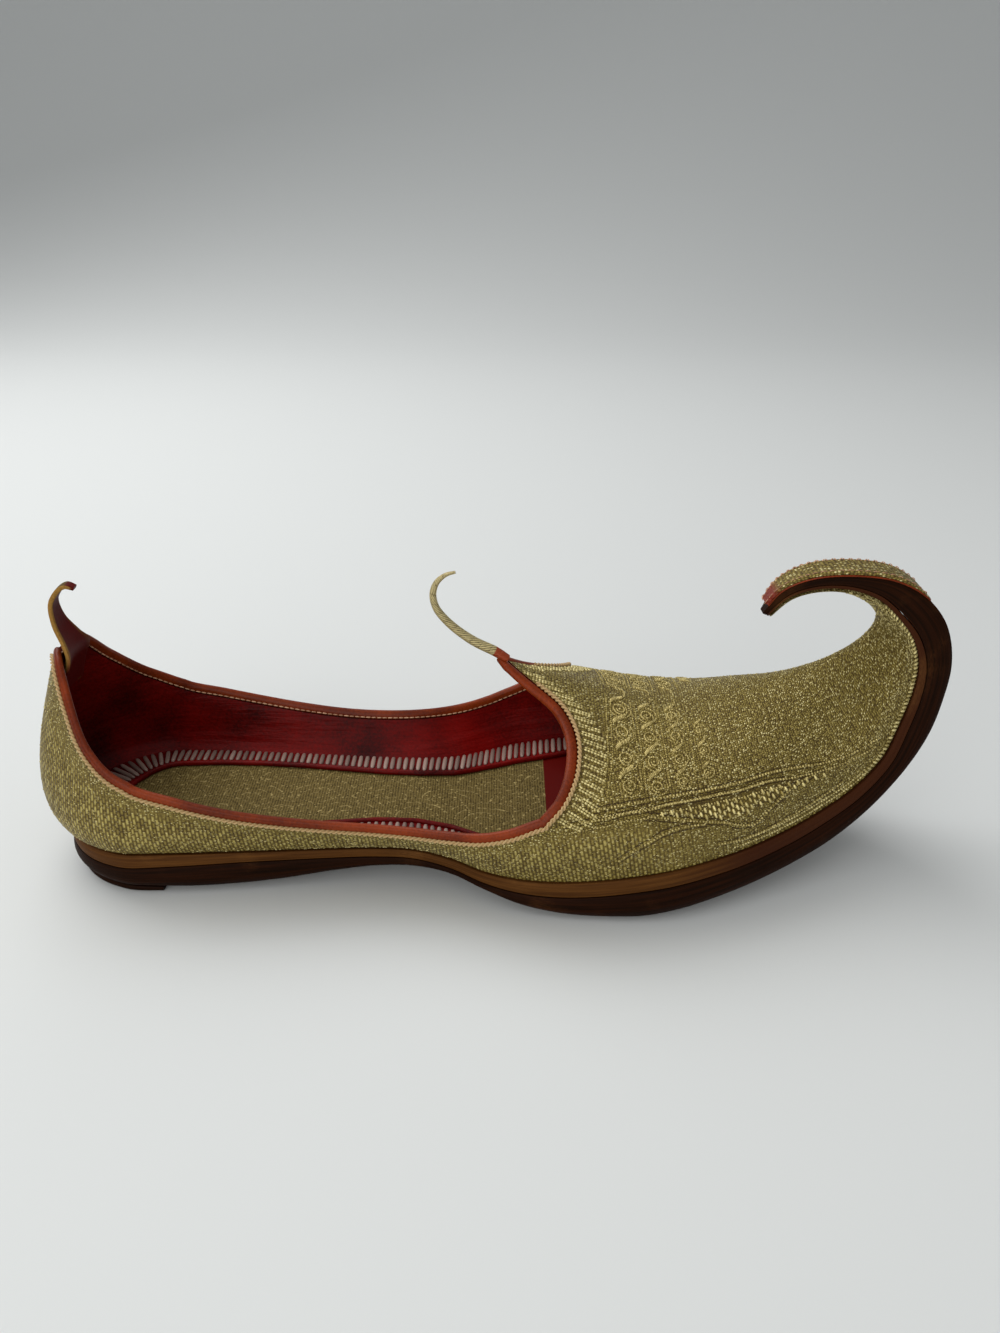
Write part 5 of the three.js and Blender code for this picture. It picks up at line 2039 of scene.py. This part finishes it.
@dataclass
class ToeCover:
    """The brocade strip over the outer face of the curl, whipped along its edges, in millimetres."""

    last: Last
    sole: Sole
    span: tuple[float, float] = (28.9, 33.6)
    thickness: float = 1.1
    skived_rows: float = 0.9  # over which the strip is pared thin
    skived_to: float = 0.25
    points: int = 60  # along its edges
    whips: int = 46
    whip_line: float = 0.76  # share of the half width
    piping_line: float = 0.99
    piping_radius: float = 0.26
    edge: tuple = ((-0.1, 0), (-0.07, 0.4), (-0.16, 1))  # of the strip, as Sole.layer takes it
    whip_size: tuple[float, float, float] = (1.7, 0.5, 0.14)

    def lifted(self, plane: Plane, depth: Array) -> Array:
        """Points over the sole's outer face."""
        return plane["under"] + unit(plane["under"] - plane["foot"]) * depth

    def face(self, plane: Plane, at: Array) -> Array:
        """Points on the strip's face, pared thin where it starts."""
        thin = np.interp(at, (self.span[0], self.span[0] + self.skived_rows), (self.skived_to, 1.0))
        return self.lifted(plane, (GAP + self.thickness * thin)[:, None])

    def build(self, brocade: Material, thread: Material, red: Material) -> None:
        """Builds the strip, its whip stitches and its piping.

        Args:
            brocade: Finish of the strip.
            thread: Finish of the stitches.
            red: Finish of the piping.
        """
        depths = (lambda plane, at: self.lifted(plane, GAP), self.face)
        piece = self.sole.layer("toe_strip", self.span, depths, self.edge, brocade)
        Bench.finish(piece, "toe_cover", ["toe_cover"])
        at = np.linspace(*self.span, self.points)
        plane = self.last.plane(at)
        half = plane["out"] * plane["half"][:, None]
        line = self.last.placed(self.face(plane, at) + half * self.whip_line)
        along = unit(np.gradient(line, axis=0))
        out = unit(self.last.placed(self.lifted(plane, 5)) - line)
        self.whip(line, along, out, thread)
        edge = self.last.placed(self.lifted(plane, GAP * 0.5) + half * self.piping_line)
        side, out = (way * self.piping_radius * MM for way in (unit(np.cross(along, out)), out))
        pipes = [Bench.tube("near", edge, side, out, red, 8)]
        pipes.append(Bench.tube("far", mirrored(edge), mirrored(side), mirrored(out), red, 8))
        Bench.finish(Bench.join("toe_piping", pipes, weld=0.0), "toe_cover", angle=80)

    def whip(self, line: Array, along: Array, out: Array, thread: Material) -> None:
        """Sews crossed stitches along both edges of the strip.

        Args:
            line: Points of the near edge.
            along: The ways along it.
            out: The ways out of the strip.
            thread: Finish of the stitches.
        """
        stops = np.linspace(2, self.points - 1, self.whips)
        centres, ways, outs = sampled(stops, np.arange(self.points), line, along, out)
        turn = np.where(np.arange(self.whips) % 2, 0.9, -0.9)[:, None]
        slant = unit(ways + np.cross(ways, outs) * turn)
        stitches = Stitches.of(centres, slant, outs, self.whip_size)
        stitches.both_sides().sew("toe_whip", thread, "toe_cover", 12)


@dataclass
class Studio:
    """Floor, soft light and camera."""

    last: Last
    camera_place: tuple[float, float, float] = (155.0, -312.5, 227.05)  # millimetres of the tables
    pitch: float = 27.0
    focal_pixels: float = 1085.0
    image_height: int = 1333
    sensor: float = 36.0
    floor_size: float = 5.0
    sweep: float = 1.6  # radius of the floor's rise behind the shoe
    near: float = 0.01
    aim: float = 0.03  # height that the lights look at
    background: tuple[float, float, float, float] = (0.86, 0.87, 0.87, 1)
    background_strength: float = 0.38

    @staticmethod
    def pick(piece: Object, chosen: Callable[[Sequence[Vector]], bool]) -> None:
        """Selects the edges of a piece whose ends pass a test, and enters edit mode.

        Args:
            piece: The piece.
            chosen: The test.
        """
        bpy.ops.object.mode_set(mode="EDIT")
        bpy.ops.mesh.select_mode(type="EDGE")
        bpy.ops.mesh.select_all(action="DESELECT")
        bpy.ops.object.mode_set(mode="OBJECT")
        for edge in piece.data.edges:
            edge.select = chosen([piece.data.vertices[k].co for k in edge.vertices])
        bpy.ops.object.mode_set(mode="EDIT")

    def floor(self) -> None:
        """The pale floor, swept up behind the shoe."""
        Bench.clear()
        bpy.ops.mesh.primitive_plane_add(size=self.floor_size)
        floor = bpy.context.object
        floor.name = "studio_floor"
        back = self.floor_size / 2
        self.pick(floor, lambda ends: all(end.y > back - self.near for end in ends))
        bpy.ops.mesh.extrude_region_move(TRANSFORM_OT_translate={"value": (0, 0, back)})
        self.pick(floor, lambda ends: all(end.y > back - self.near and end.z < self.near for end in ends))
        bpy.ops.mesh.bevel(offset=self.sweep, segments=24, affect="EDGES")
        bpy.ops.object.mode_set(mode="OBJECT")
        bpy.ops.object.shade_smooth()
        paint = Paint("floor_paper")
        paint.set(base_color=srgb(217, 220, 220), roughness=0.85, specular_ior_level=0.2)
        floor.data.materials.append(paint.material)

    @staticmethod
    def add(name: str, data: bpy.types.ID, place: Sequence[float]) -> Object:
        """Puts a light or a camera in the scene.

        Args:
            name: Name of the object.
            data: The light or camera.
            place: Where it stands, in metres.

        Returns:
            The object.
        """
        holder = bpy.data.objects.new(name, data)
        bpy.context.scene.collection.objects.link(holder)
        holder.location = place
        return holder

    def lights(self) -> None:
        """Soft square lights that look at the shoe."""
        for name, place, size, power, colour in LIGHTS:
            lamp = bpy.data.lights.new(name, "AREA")
            lamp.size, lamp.energy, lamp.color = size, power, colour
            holder = self.add(name, lamp, place)
            way = Vector((0, 0, self.aim)) - Vector(place)
            holder.rotation_euler = way.to_track_quat("-Z", "Y").to_euler()

    def camera(self) -> None:
        """The camera at the photograph's angle."""
        data = bpy.data.cameras.new("camera")
        data.lens = self.sensor * self.focal_pixels / self.image_height
        data.sensor_width = self.sensor
        data.clip_start = self.near
        x, y, z = self.camera_place
        holder = self.add("camera", data, ((x + self.last.zero) * MM, y * MM, z * MM))
        holder.rotation_euler = (math.radians(90 - self.pitch), 0, 0)
        bpy.context.scene.camera = holder

    def build(self) -> None:
        """Sets up the studio."""
        self.camera()
        self.floor()
        self.lights()
        world = bpy.data.worlds.new("studio")
        world.use_nodes = True
        background = world.node_tree.nodes["Background"]
        background.inputs["Color"].default_value = self.background
        background.inputs["Strength"].default_value = self.background_strength
        bpy.context.scene.world = world
        bpy.context.scene.view_settings.view_transform = "Standard"


def main() -> None:
    """Builds the shoe and its studio in order."""
    logging.basicConfig(level=logging.INFO, format="%(message)s")
    last = Last()
    Studio(last).build()
    sole = Sole(last)
    sole.build()
    upper = Upper(last)
    upper.build()
    upper.dress()
    red = Leather(srgb(74, 20, 4), srgb(140, 54, 14), grain=0.7, roughness=0.34, gloss=0.16)
    red = red.material("binding_leather")
    collar = Collar(last)
    collar.binding(red)
    collar.cord(Thread.THREAD_CREAM.material())
    rose = Thread.THREAD_ROSE.material()
    collar.seam(rose)
    footbed = Footbed(last)
    footbed.insole()
    footbed.lining_foot(upper.lining, Thread.THREAD_GREY.material())
    Bars(last).build()
    strip = Brocade(grain=0.9).material("strip_brocade", sides=False, red_from=48.0)
    ToeCover(last, sole).build(strip, rose, red)
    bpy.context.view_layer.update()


if __name__ == "__main__":
    main()
